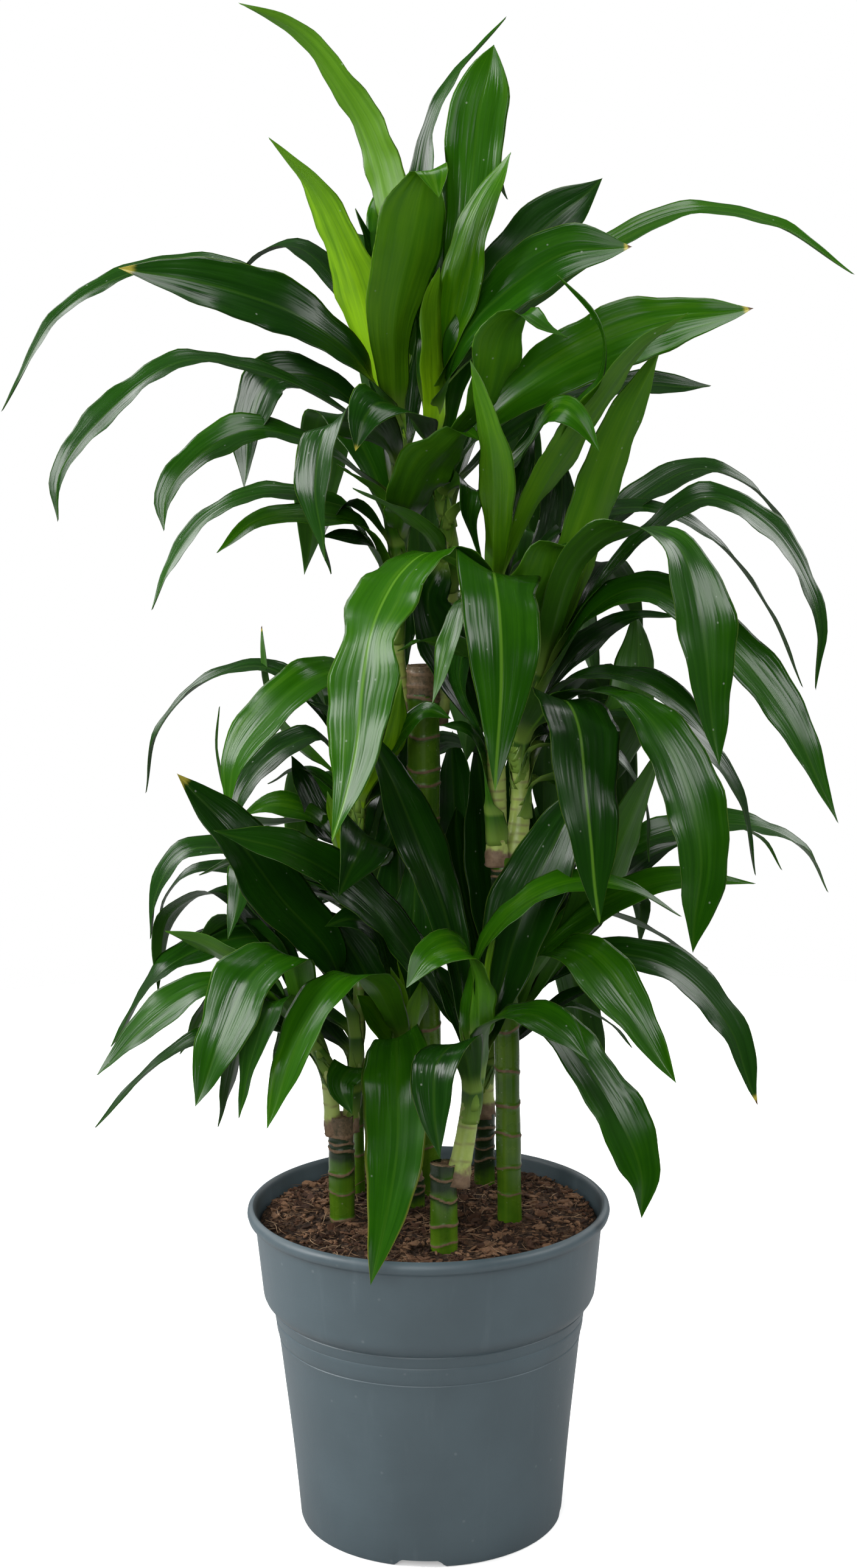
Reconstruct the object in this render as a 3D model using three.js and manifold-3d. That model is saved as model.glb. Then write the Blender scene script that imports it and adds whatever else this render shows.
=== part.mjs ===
// Potted corn plant: seven canes cut to different heights stand in a plastic nursery pot,
// and each cane carries one or two heads of long arching strap leaves.
// Millimetres, +Z up. The origin is on the pot's axis, on the surface it stands on.
// +X is to the right and -Y is the front.

import * as THREE from 'three';
import { mergeVertices } from 'three/addons/utils/BufferGeometryUtils.js';
import Module from 'manifold-3d';

const wasm = await Module();
wasm.setup();

// ---------------------------------------------------------------- driving dimensions

const gap = 0.3;                     // clearance between neighbouring pieces

const rimRadius = 135;               // the pot's widest, at its rolled rim
const potHeight = 243;
const baseRadius = 99;
const wall = 2.4;
const footHeight = 6;                // foot ring under the floor
const footInnerRadius = 92;
const notchTurn = -95;               // degrees, the notch that faces the front
const notchTop = 27;                 // width of each notch in the foot ring
const notchBottom = 37;
const drainCount = 6;
const drainRadius = 6;
const drainCircle = 66;
const potSides = 40;

const soilLevel = 231;
const soilCrown = 235;               // the soil is heaped a little in the middle
const rootDepth = 82;                // how far the cane feet go down into the soil
const soilRadius = 126.3;            // the soil's edge, close inside the pot's wall
const soilClearance = 0.5;           // the soil stands this far off the faceted wall
const holeRise = 30;                 // each cane's hole is cut this far above the soil level

const keel = 1.4;                    // thickness at the midrib; it thins out to both edges
const keelShare = 0.1;               // what a broad blade's keel adds, over its half width
const edgeWave = 0.07;               // rise and fall of the edges over the half width
const waveCount = 1.6;               // waves along one blade
const bladeStep = 48;                // length of one facet along a blade
const footOffset = 1.7;              // each blade's foot sits this far off the shoot's axis
const footTurn = 2.4;                // and turns round it by this angle from leaf to leaf, radians
const foldGap = 0.03;                // how far folds of one skin are parted where they meet
const foldReach = 0.01;              // skin points nearer than this meet
const rollStart = 0.3;               // part of the length in which a blade turns to its roll
const shootStep = 60;                // length of one facet along a shoot
const shootSides = 6;
const caneSides = 10;
const holeSides = 12;
const ringHeight = 0.7;              // how far a leaf scar stands proud of a cane
const ringHalf = 2;

// Canes: foot and top of the axis at soil level and at the sawn end, radius, and the
// heights of the leaf scars that ring them.
const canes = {
  cane_left: { foot: [-64, -14], top: [-64, -14, 314], radius: 9.7, rings: [256, 272, 288] },
  cane_thin: { foot: [-53, 47], top: [-53, 48, 330], radius: 4.4, rings: [262, 288, 312] },
  cane_front: { foot: [11, -78], top: [11, -77, 297], radius: 9.8, rings: [252, 272, 287] },
  cane_right: {
    foot: [61, -21], top: [57, -10, 506], radius: 9.2,
    rings: [255, 275, 299, 323, 348, 380, 420, 462],
  },
  cane_back: { foot: [43, 67], top: [44, 70, 290], radius: 8.1, rings: [252, 270] },
  cane_tall: {
    foot: [-3, 46], top: [0, 42, 640], radius: 12.4,
    rings: [275, 320, 365, 410, 455, 500, 540, 565, 590, 616],
  },
  cane_stub: { foot: [-12, 12], top: [-12, 12, 256], radius: 9, rings: [] },
};

// Leafy heads. Shoots are the green stems that grow out of a cane: axis points, radius
// at the foot and at the crown. Each leaf is its width at the fullest place, its roll in
// degrees, where along its length it is fullest, and its midrib from the stem to the tip.
// Rear leaves follow a rule: they climb the shoot from one point to the other and turn
// round it between two compass angles.
const heads = [
  {
    name: 'leafy_head_top_left', cane: 'cane_tall',
    shoots: [
      {
        axis: [[-12, 54, 598], [-20, 50, 640], [-19, 38, 700], [-16, 28, 780], [-17, 25, 860]],
        radii: [7.5, 4],
      },
    ],
    rear: {
      low: [-19, 38, 700], high: [-17, 26, 846],
      turn: [66, 122], count: 6, reach: 172, width: 46, lift: 1,
    },
    leaves: [
      [46, 50, 0.38, [-17, 26, 839], [-14, 44, 928], [-28, 62, 1010], [-54, 66, 1060], [-90, 66, 1100],
        [-128, 64, 1116]],
      [54, 10, 0.62, [-16, 26, 823], [-20, -6, 884], [-8, -24, 940], [2, -38, 980], [8, -50, 990],
        [14, -62, 968]],
      [46, 10, 0.36, [-16, 26, 820], [-36, 6, 888], [-50, -10, 934], [-72, -24, 980], [-102, -34, 1012]],
      [34, 30, 0.5, [-17, 26, 842], [-22, 52, 902], [-34, 62, 942], [-46, 66, 972]],
      [48, -60, 0.62, [-16, 26, 816], [-38, -8, 858], [-80, -34, 892], [-120, -50, 908],
        [-160, -58, 918], [-204, -60, 924]],
      [40, -15, 0.6, [-17, 26, 836], [-56, 46, 916], [-88, 56, 946], [-114, 60, 942], [-134, 62, 924]],
      [30, -25, 0.62, [-16, 26, 826], [-84, 40, 906], [-158, 50, 936], [-216, 52, 926], [-264, 46, 896],
        [-304, 36, 828]],
      [40, -20, 0.7, [-16, 27, 800], [-66, 0, 836], [-116, -16, 858], [-166, -26, 864], [-216, -34, 832],
        [-254, -38, 784], [-254, -40, 752]],
      [44, -40, 0.6, [-16, 27, 803], [-70, 30, 850], [-108, 26, 852], [-124, 22, 820], [-128, 18, 772]],
      [42, -25, 0.66, [-17, 30, 760], [-66, 14, 800], [-118, 0, 816], [-156, -12, 800], [-182, -20, 768],
        [-182, -24, 744]],
      [48, 30, 0.5, [-16, 27, 790], [-38, -40, 820], [-64, -66, 820], [-74, -80, 780], [-66, -86, 726]],
      [52, 0, 0.6, [-18, 33, 736], [-8, -20, 766], [2, -36, 788], [18, -48, 804], [30, -54, 814],
        [40, -60, 806]],
      [28, -20, 0.5, [-18, 34, 730], [-30, 4, 768], [-44, -6, 780], [-60, -12, 790]],
      [36, -20, 0.5, [-19, 37, 706], [-58, 26, 758], [-112, 26, 770], [-152, 28, 756], [-184, 28, 718],
        [-198, 26, 684]],
      [38, -20, 0.5, [-19, 38, 703], [-40, 8, 746], [-84, -4, 756], [-118, -12, 750], [-146, -16, 728]],
      [30, -25, 0.5, [-19, 39, 693], [-36, 16, 732], [-54, 10, 738], [-72, 4, 738]],
      [26, 10, 0.5, [-18, 33, 733], [-52, 20, 762], [-72, 14, 742], [-66, 10, 710]],
    ],
  },
  {
    name: 'leafy_head_top_right', cane: 'cane_tall',
    shoots: [
      { axis: [[9, 57, 596], [17, 48, 640], [19, 26, 734], [11, 12, 789], [6, 9, 850]], radii: [7.5, 4] },
    ],
    rear: { low: [19, 26, 734], high: [7, 9, 842], turn: [48, 70], count: 3, reach: 144, width: 40, lift: 1 },
    leaves: [
      [36, -15, 0.55, [8, 10, 820], [0, 40, 944], [6, 58, 1024], [26, 60, 1064], [64, 58, 1104]],
      [46, 45, 0.86, [8, 10, 823], [30, 28, 930], [38, 34, 990], [44, 32, 1040], [54, 26, 1080]],
      [44, 65, 0.55, [8, 10, 826], [26, -8, 904], [42, -18, 962], [64, -20, 1002]],
      [40, 25, 0.5, [9, 10, 807], [10, 0, 858], [10, 0, 900], [14, 2, 926]],
      [50, 35, 0.7, [7, 10, 829], [40, 40, 902], [84, 60, 952], [134, 72, 992]],
      [50, 60, 0.66, [8, 10, 817], [26, -16, 874], [60, -30, 910], [100, -38, 934], [146, -42, 936]],
      [42, 0, 0.5, [10, 11, 797], [42, -30, 828], [50, -46, 858], [56, -58, 880], [68, -68, 892],
        [86, -76, 882], [100, -80, 874]],
      [34, 25, 0.72, [7, 9, 833], [84, 60, 906], [160, 70, 958], [208, 66, 970], [264, 56, 956],
        [314, 44, 920]],
      [54, 60, 0.62, [13, 15, 775], [46, -14, 820], [98, -30, 858], [156, -38, 882], [230, -40, 894]],
      [40, 25, 0.74, [15, 17, 765], [74, 28, 818], [144, 34, 844], [210, 34, 842]],
      [36, 45, 0.5, [17, 22, 750], [68, -30, 796], [92, -82, 828], [106, -92, 820], [120, -98, 798]],
      [44, -25, 0.5, [10, 11, 801], [-8, -50, 828], [-28, -80, 834], [-38, -92, 822], [-44, -96, 800]],
      [34, -10, 0.5, [20, 30, 718], [-2, -22, 748], [-26, -34, 764], [-48, -40, 774]],
      [28, -40, 0.5, [14, 16, 769], [34, -22, 776], [34, -38, 750], [42, -46, 722]],
      [58, 5, 0.5, [20, 29, 721], [6, 8, 692], [18, 10, 654], [42, 14, 596]],
      [58, 25, 0.5, [20, 38, 686], [22, 58, 696], [34, 76, 666], [36, 74, 614], [32, 68, 564]],
    ],
  },
  {
    name: 'leafy_head_right', cane: 'cane_right',
    shoots: [
      { axis: [[52, -12, 500], [52, -15, 559], [50, -18, 650], [49, -20, 730]], radii: [7.5, 5] },
      { axis: [[64, -2, 496], [70, 4, 540], [71, 4, 600], [82, 0, 640]], radii: [8.5, 5] },
    ],
    rear: {
      low: [71, 4, 560], high: [80, 1, 634],
      turn: [35, 95], count: 6, reach: 170, width: 46, lift: 0.8,
    },
    leaves: [
      [26, 55, 0.5, [49, -20, 715], [98, -58, 816], [122, -74, 848], [120, -80, 884], [92, -78, 916]],
      [62, 5, 0.52, [49, -19, 695], [28, -74, 726], [4, -106, 734], [-14, -132, 722], [-26, -148, 704],
        [-34, -160, 684], [-40, -174, 650], [-44, -186, 612], [-52, -194, 580], [-60, -198, 552]],
      [62, -20, 0.27, [49, -19, 698], [50, -82, 722], [50, -126, 718], [52, -148, 694], [52, -168, 652],
        [46, -186, 582]],
      [30, 30, 0.5, [50, -19, 682], [30, -62, 702], [18, -84, 672], [6, -92, 628]],
      [30, 15, 0.5, [50, -18, 644], [24, -44, 662], [0, -56, 670], [-18, -62, 662]],
      [34, -35, 0.5, [49, -19, 701], [52, -52, 744], [50, -76, 800], [34, -84, 860]],
      [40, -10, 0.5, [49, -19, 704], [74, -48, 760], [112, -60, 820], [148, -80, 868], [180, -86, 890]],
      [46, -40, 0.5, [79, 1, 631], [108, -4, 716], [134, -10, 798], [156, -14, 846], [170, -16, 872]],
      [56, -15, 0.5, [50, -19, 685], [94, 22, 736], [102, 34, 796]],
      [52, -10, 0.5, [50, -18, 659], [82, -48, 710], [90, -66, 736], [100, -78, 734]],
      [36, 20, 0.5, [49, -19, 691], [66, -10, 772], [82, -12, 824]],
      [40, 5, 0.5, [51, -17, 610], [30, -28, 670], [24, -26, 636], [42, -22, 594]],
      [24, -35, 0.5, [52, -14, 540], [44, -24, 578], [32, -30, 602], [12, -34, 606]],
      [42, 15, 0.6, [79, 1, 635], [120, 44, 726], [166, 64, 766], [206, 72, 784], [248, 74, 768],
        [284, 70, 720]],
      [42, 20, 0.62, [79, 1, 638], [116, -6, 690], [158, -16, 740], [200, -24, 766], [246, -30, 744],
        [280, -34, 682], [278, -34, 628]],
      [30, 20, 0.6, [49, -19, 688], [104, 24, 744], [164, 40, 756], [218, 48, 730], [260, 50, 674],
        [282, 48, 620]],
      [54, -5, 0.72, [79, 1, 641], [104, -60, 722], [138, -94, 750], [170, -118, 740], [184, -136, 706],
        [196, -150, 592]],
      [50, 30, 0.52, [75, 3, 616], [118, -20, 686], [156, -36, 704], [210, -48, 670], [254, -54, 618],
        [292, -56, 536]],
      [42, 10, 0.5, [72, 4, 607], [112, 18, 654], [150, 28, 676], [188, 34, 676]],
      [56, -85, 0.5, [70, 5, 555], [130, 40, 568], [156, 56, 620], [158, 64, 678]],
      [40, 10, 0.5, [72, 4, 604], [108, -38, 642], [150, -58, 642], [184, -68, 620], [206, -72, 590]],
      [54, 0, 0.74, [70, 4, 593], [108, -62, 634], [144, -96, 630], [172, -120, 594], [188, -136, 532],
        [180, -144, 464]],
      [58, -15, 0.5, [70, 4, 589], [96, -74, 632], [106, -122, 618], [110, -148, 568], [116, -160, 488]],
      [30, 25, 0.5, [70, 5, 582], [132, 30, 580], [164, 40, 544], [168, 42, 490]],
      [34, 30, 0.6, [71, 4, 597], [156, 44, 606], [206, 54, 582], [240, 58, 532], [250, 58, 476]],
      [46, 30, 0.5, [70, 5, 585], [92, 34, 598], [92, 46, 558], [90, 50, 512]],
    ],
  },
  {
    name: 'leafy_head_mid_left', cane: 'cane_thin',
    shoots: [
      { axis: [[-53, 48, 326], [-52, 54, 450], [-50, 58, 520], [-45, 60, 580]], radii: [5, 4] },
    ],
    rear: {
      low: [-51, 56, 486], high: [-47, 59, 560],
      turn: [68, 118], count: 6, reach: 142, width: 42, lift: 0.5,
    },
    leaves: [
      [26, 55, 0.5, [-48, 59, 549], [-16, 14, 596], [2, 4, 612], [20, -2, 606]],
      [20, 0, 0.5, [-49, 59, 539], [-22, 20, 586], [-16, 12, 634]],
      [46, -40, 0.58, [-51, 56, 479], [-38, 0, 512], [-40, -48, 532], [-46, -82, 522], [-60, -100, 496]],
      [38, -10, 0.6, [-52, 55, 460], [-100, 40, 488], [-144, 30, 508], [-180, 28, 506], [-202, 28, 474],
        [-206, 28, 438]],
      [28, -10, 0.5, [-52, 54, 457], [-96, 62, 474], [-142, 68, 484], [-180, 72, 482], [-202, 74, 456],
        [-202, 74, 424]],
      [24, -15, 0.5, [-52, 54, 450], [-104, 44, 482], [-136, 42, 496], [-170, 42, 484]],
      [38, -5, 0.5, [-52, 54, 454], [-110, 2, 490], [-130, -10, 500], [-138, -16, 472], [-144, -20, 448]],
      [20, 20, 0.5, [-52, 54, 441], [-116, 70, 448], [-140, 74, 458], [-140, 76, 432]],
      [32, -15, 0.6, [-47, 59, 555], [-90, 76, 620], [-126, 84, 638], [-174, 90, 622], [-206, 92, 584],
        [-214, 92, 538]],
      [24, 45, 0.5, [-48, 59, 545], [-104, 84, 586], [-120, 90, 628], [-122, 92, 666]],
      [20, 30, 0.5, [-50, 58, 523], [-140, 92, 520], [-158, 98, 566], [-156, 100, 604]],
      [46, -15, 0.55, [-48, 59, 552], [-50, 32, 638], [-82, 6, 638], [-116, -4, 610], [-138, -6, 578],
        [-144, -6, 536]],
      [42, -10, 0.5, [-48, 59, 542], [-76, 38, 590], [-110, 24, 580], [-136, 16, 550], [-144, 12, 518]],
      [40, -15, 0.5, [-51, 57, 498], [-72, 64, 510], [-90, 66, 548], [-100, 68, 570]],
      [38, -20, 0.5, [-51, 56, 488], [-82, 52, 528], [-112, 46, 538], [-138, 44, 528]],
      [28, -5, 0.5, [-47, 59, 558], [-64, 66, 598], [-88, 68, 612]],
      [22, 0, 0.5, [-49, 58, 529], [-92, 78, 560], [-120, 84, 546]],
      [20, -5, 0.5, [-52, 55, 476], [-62, 40, 500], [-72, 36, 548]],
      [44, 15, 0.5, [-49, 59, 533], [-16, 84, 556], [16, 92, 578], [50, 88, 564]],
      [46, 5, 0.5, [-51, 56, 482], [-24, 78, 508], [-12, 84, 548], [-8, 84, 600]],
    ],
  },
  {
    name: 'leafy_head_left', cane: 'cane_left',
    shoots: [
      { axis: [[-69, -14, 300], [-74, -18, 350], [-86, -28, 395], [-88, -30, 420]], radii: [6, 4] },
    ],
    rear: {
      low: [-74, -18, 345], high: [-85, -27, 392],
      turn: [128, 166], count: 3, reach: 130, width: 42, lift: 0.4,
    },
    leaves: [
      [54, -5, 0.58, [-83, -26, 384], [-98, -78, 454], [-122, -102, 444], [-142, -118, 404],
        [-160, -124, 354]],
      [42, -15, 0.6, [-84, -26, 387], [-118, -44, 424], [-158, -54, 424], [-196, -60, 402],
        [-236, -64, 360]],
      [32, -5, 0.5, [-78, -21, 366], [-116, -26, 386], [-164, -28, 380], [-204, -28, 354],
        [-244, -28, 310]],
      [48, -25, 0.62, [-85, -27, 390], [-112, 6, 442], [-148, 16, 442], [-200, 24, 416], [-238, 26, 356]],
      [32, 5, 0.5, [-81, -24, 377], [-114, 28, 436], [-154, 42, 472], [-194, 48, 454], [-204, 48, 390]],
      [34, 45, 0.5, [-82, -25, 381], [-124, -16, 422], [-160, -14, 444], [-190, -14, 454]],
      [22, 35, 0.5, [-85, -28, 393], [-104, 8, 438], [-132, 14, 468]],
      [38, 15, 0.5, [-79, -22, 370], [-108, -56, 414], [-124, -72, 382], [-134, -80, 332]],
    ],
  },
  {
    name: 'leafy_head_left_inner', cane: 'cane_left',
    shoots: [
      { axis: [[-58, -10, 300], [-53, -4, 350], [-50, 0, 395], [-50, 0, 415]], radii: [6, 4] },
    ],
    rear: {
      low: [-53, -4, 345], high: [-50, 0, 395],
      turn: [112, 136], count: 3, reach: 165, width: 40, lift: 0.2,
    },
    leaves: [
      [54, -60, 0.6, [-51, -2, 371], [-66, -22, 434], [-100, -40, 482], [-136, -52, 536], [-174, -54, 576]],
      [26, -5, 0.5, [-55, -6, 332], [-54, -44, 360], [-62, -56, 350], [-54, -60, 328]],
    ],
  },
  {
    name: 'leafy_head_centre', cane: 'cane_stub',
    shoots: [
      { axis: [[-12, 12, 250], [-13, 4, 310], [-16, -8, 365], [-16, -10, 395]], radii: [7, 4] },
    ],
    leaves: [
      [52, 20, 0.5, [-15, -5, 350], [-22, -68, 390], [-22, -120, 376], [-22, -142, 332],
        [-28, -150, 292], [-40, -156, 236]],
      [46, 10, 0.6, [-16, -7, 360], [-36, -72, 430], [-58, -104, 442], [-88, -128, 406], [-110, -138, 342]],
      [28, 0, 0.5, [-16, -6, 354], [-20, -12, 392], [-26, -16, 426]],
      [26, 15, 0.5, [-16, -8, 363], [-8, -20, 390], [-4, -24, 418]],
      [34, -55, 0.5, [-16, -6, 357], [-34, -26, 386], [-50, -36, 410]],
      [14, 80, 0.5, [-16, -9, 370], [-20, 0, 408], [-26, 2, 440]],
      [36, -50, 0.5, [-16, -8, 366], [-32, -26, 452], [-52, -40, 468], [-72, -50, 464]],
      [40, -60, 0.5, [-15, -5, 347], [-36, 16, 394], [-56, 16, 434], [-80, 18, 464]],
    ],
  },
  {
    name: 'leafy_head_front', cane: 'cane_front',
    shoots: [
      { axis: [[20, -76, 280], [28, -72, 320], [35, -66, 370], [36, -64, 410]], radii: [8, 5] },
    ],
    leaves: [
      [58, 40, 0.55, [35, -66, 369], [52, -50, 420], [70, -42, 476], [92, -42, 524], [114, -46, 566]],
      [44, -25, 0.42, [36, -65, 382], [40, -84, 432], [26, -100, 462], [2, -110, 456], [-14, -114, 434]],
      [16, -60, 0.5, [36, -65, 385], [42, -60, 426], [50, -56, 464]],
      [36, 10, 0.5, [35, -66, 372], [20, -46, 410], [6, -38, 434]],
      [38, 10, 0.6, [35, -66, 366], [34, -64, 440], [64, -66, 482], [108, -64, 500], [152, -60, 490],
        [182, -56, 470]],
      [44, 10, 0.5, [34, -67, 358], [42, -104, 408], [72, -116, 418], [96, -122, 404], [112, -124, 384]],
      [38, 15, 0.5, [32, -68, 349], [22, -116, 398], [6, -142, 390], [4, -152, 356], [8, -156, 326]],
      [44, -20, 0.6, [35, -66, 375], [18, -34, 460], [0, -26, 512], [-20, -26, 562], [-42, -26, 606]],
      [56, -30, 0.55, [36, -65, 379], [22, -44, 394], [-4, -34, 434], [-46, -58, 492], [-92, -82, 526],
        [-146, -92, 542]],
    ],
  },
  {
    name: 'leafy_head_low_right', cane: 'cane_back',
    shoots: [
      { axis: [[44, 70, 286], [47, 66, 340], [62, 58, 370], [74, 50, 385]], radii: [7, 5] },
    ],
    rear: {
      low: [46, 67, 325], high: [68, 54, 376],
      turn: [20, 104], count: 6, reach: 150, width: 44, lift: 1,
    },
    leaves: [
      [44, -30, 0.5, [65, 56, 370], [118, 34, 454], [152, 14, 536], [172, 4, 584]],
      [42, 15, 0.66, [67, 55, 373], [122, 76, 474], [182, 88, 506], [254, 96, 510], [296, 98, 488],
        [312, 98, 454]],
      [44, 10, 0.5, [68, 54, 376], [132, 84, 452], [170, 100, 484], [208, 112, 496]],
      [40, 30, 0.5, [51, 64, 347], [82, 26, 424], [130, 12, 466], [184, 6, 486], [242, 0, 482]],
      [48, 10, 0.62, [59, 60, 360], [90, -6, 436], [114, -36, 440], [144, -54, 406], [178, -64, 350]],
      [50, 25, 0.7, [52, 63, 351], [92, 60, 400], [138, 60, 418], [190, 58, 406], [232, 52, 362],
        [252, 46, 300]],
      [26, 0, 0.5, [63, 57, 367], [122, 100, 440], [172, 112, 426], [222, 118, 390]],
      [26, -10, 0.5, [69, 53, 379], [134, 120, 444], [168, 136, 444], [170, 142, 402]],
      [28, 25, 0.5, [47, 66, 338], [96, 40, 382], [132, 30, 402]],
      [24, 0, 0.5, [46, 67, 335], [102, 80, 372], [142, 88, 356], [160, 90, 334]],
      [52, 0, 0.7, [50, 64, 344], [84, 0, 388], [112, -34, 364], [140, -52, 322], [156, -58, 280],
        [154, -60, 248]],
      [50, 0, 0.68, [48, 65, 341], [42, 74, 412], [30, 86, 468], [24, 90, 526]],
      [50, 30, 0.45, [56, 61, 357], [56, 92, 442], [48, 106, 520], [42, 104, 592]],
      [26, 0, 0.5, [61, 59, 363], [142, 112, 466], [216, 130, 506], [264, 136, 492], [282, 138, 464]],
      [52, 15, 0.6, [54, 62, 354], [42, 100, 420], [28, 122, 484], [22, 124, 580]],
    ],
  },
];

// ---------------------------------------------------------------- colours

const finishes = {
  pot: { color: '#525e64', roughness: 0.55 },
  soil: { color: '#3a2417', roughness: 1 },
  cane: { color: '#3f6b26', roughness: 0.6 },
  leaf: { color: '#2c6420', roughness: 0.35 },
};

// ---------------------------------------------------------------- closed bodies

function toSolid(geometry) {
  const bare = geometry.clone();
  bare.deleteAttribute('normal');
  bare.deleteAttribute('uv');
  const merged = mergeVertices(bare, 1e-4);
  const vertProperties = new Float32Array(merged.attributes.position.array);
  const triVerts = new Uint32Array(merged.index.array);
  if (signedVolume(vertProperties, triVerts) < 0) {
    for (let i = 0; i < triVerts.length; i += 3) {
      [triVerts[i + 1], triVerts[i + 2]] = [triVerts[i + 2], triVerts[i + 1]];
    }
  }
  return new wasm.Manifold(new wasm.Mesh({ numProp: 3, vertProperties, triVerts }));
}

function signedVolume(positions, triangles) {
  const [a, b, c] = [new THREE.Vector3(), new THREE.Vector3(), new THREE.Vector3()];
  let sum = 0;
  for (let i = 0; i < triangles.length; i += 3) {
    a.fromArray(positions, 3 * triangles[i]);
    b.fromArray(positions, 3 * triangles[i + 1]);
    c.fromArray(positions, 3 * triangles[i + 2]);
    sum += a.dot(b.cross(c));
  }
  return sum;
}

function toGeometry(solid) {
  const mesh = solid.getMesh();
  const geometry = new THREE.BufferGeometry();
  geometry.setAttribute('position', new THREE.BufferAttribute(mesh.vertProperties, 3));
  geometry.setIndex(new THREE.BufferAttribute(mesh.triVerts, 1));
  geometry.computeVertexNormals();
  return geometry;
}

// A body turned about +Z from a profile of [radius, height] pairs.
function turned(profile, sides) {
  const outline = profile.map(([radius, height]) => new THREE.Vector2(radius, height));
  return new THREE.LatheGeometry(outline, sides).rotateX(Math.PI / 2);
}

// A closed skin over a row of rings with equal point counts; its end is a flat cap or a point.
function skinned(rings, tip) {
  const count = rings[0].length;
  const corners = rings.flat();
  const faces = [];
  for (let r = 0; r + 1 < rings.length; r++) {
    for (let k = 0; k < count; k++) {
      const near = r * count + k;
      const nearNext = r * count + (k + 1) % count;
      faces.push(near, nearNext, near + count, nearNext, nearNext + count, near + count);
    }
  }
  for (let k = 1; k + 1 < count; k++) faces.push(0, k + 1, k);
  const last = (rings.length - 1) * count;
  if (tip) corners.push(tip);
  for (let k = tip ? 0 : 1; k < (tip ? count : count - 1); k++) {
    if (tip) faces.push(last + k, last + (k + 1) % count, corners.length - 1);
    else faces.push(last, last + k, last + k + 1);
  }
  const geometry = new THREE.BufferGeometry();
  geometry.setAttribute('position',
    new THREE.Float32BufferAttribute(corners.flatMap((p) => p.toArray()), 3));
  geometry.setIndex(faces);
  return geometry;
}

// ---------------------------------------------------------------- pot

// The wall from the foot up: a plain taper, two faint shoulders, a curved step out to the
// upper band, and the rolled rim.
const potOutside = [
  [footInnerRadius, 0], [baseRadius - 1.5, 0], [baseRadius, 1.5],
  [113.1, 144.5], [113.9, 145.5], [115, 158], [116, 159], [117, 167.5],
  [119.6, 172.5], [124, 181], [129.2, 229],
  [134.2, 233], [rimRadius, 238.5], [132.6, potHeight],
];
const potInside = [
  [128.6, potHeight], [126.8, 229], [121.6, 182.5], [113.6, 166.5],
  [baseRadius - wall, footHeight + wall],
];

function potWall() {
  const floor = [[0, footHeight + wall], [0, footHeight], [footInnerRadius, footHeight]];
  const profile = [floor[1], floor[2], ...potOutside, ...potInside, floor[0]];
  let body = toSolid(turned(profile, potSides));
  for (let i = 0; i < 4; i++) {
    body = body.subtract(toSolid(footNotch(notchTurn + 90 * i)));
  }
  for (let i = 0; i < drainCount; i++) {
    const angle = 2 * Math.PI * i / drainCount;
    const hole = new THREE.CylinderGeometry(drainRadius, drainRadius, 4 * wall, 8)
      .rotateX(Math.PI / 2)
      .translate(drainCircle * Math.cos(angle), drainCircle * Math.sin(angle), footHeight + wall / 2);
    body = body.subtract(toSolid(hole));
  }
  return body;
}

// A trapezoid slot through the foot ring, wider at the ground.
function footNotch(degrees) {
  const section = new THREE.Shape([
    new THREE.Vector2(-notchBottom / 2, -1), new THREE.Vector2(notchBottom / 2, -1),
    new THREE.Vector2(notchTop / 2, footHeight - 0.5), new THREE.Vector2(-notchTop / 2, footHeight - 0.5),
  ]);
  return new THREE.ExtrudeGeometry(section, { depth: 30, bevelEnabled: false })
    .rotateX(Math.PI / 2)
    .rotateZ(Math.PI)
    .translate(0, footInnerRadius - 15, 0)
    .rotateZ((degrees - 90) * Math.PI / 180);
}

// ---------------------------------------------------------------- canes and soil

function caneAxis({ foot, top }) {
  const low = new THREE.Vector3(foot[0], foot[1], soilLevel - rootDepth);
  return [low, new THREE.Vector3(...top)];
}

// Leans a body that stands upright on z = 0 so that it follows the line from low to high.
function lean(geometry, low, high) {
  const turn = new THREE.Quaternion().setFromUnitVectors(
    new THREE.Vector3(0, 0, 1), high.clone().sub(low).normalize());
  return geometry.applyQuaternion(turn).translate(low.x, low.y, low.z);
}

function caneBody(cane) {
  const [low, high] = caneAxis(cane);
  const length = low.distanceTo(high);
  const profile = [[0, 0], [cane.radius, 0]];
  for (const z of cane.rings) {
    profile.push([cane.radius - 0.1, z - low.z - ringHalf], [cane.radius + ringHeight, z - low.z]);
  }
  profile.push([cane.radius - 0.6, length - 0.2], [0, length]);
  return toSolid(lean(turned(profile, caneSides), low, high));
}

// The room that a cane takes in its neighbours, with the clearance all round.
function caneRoom(cane) {
  const [low, high] = caneAxis(cane);
  const radius = (cane.radius + ringHeight + gap) / Math.cos(Math.PI / holeSides);
  const length = low.distanceTo(high) + 2 * gap;
  const profile = [[0, -gap], [radius, -gap], [radius, length], [0, length]];
  return toSolid(lean(turned(profile, holeSides), low, high));
}

// A plain hole in the soil for the stretch of cane below the lowest leaf scar.
function caneHole(cane) {
  const [low, high] = caneAxis(cane);
  const radius = (cane.radius + gap) / Math.cos(Math.PI / holeSides);
  const profile = [[0, -gap], [radius, -gap], [radius, rootDepth + holeRise], [0, rootDepth + holeRise]];
  return toSolid(lean(turned(profile, holeSides), low, high));
}

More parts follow.
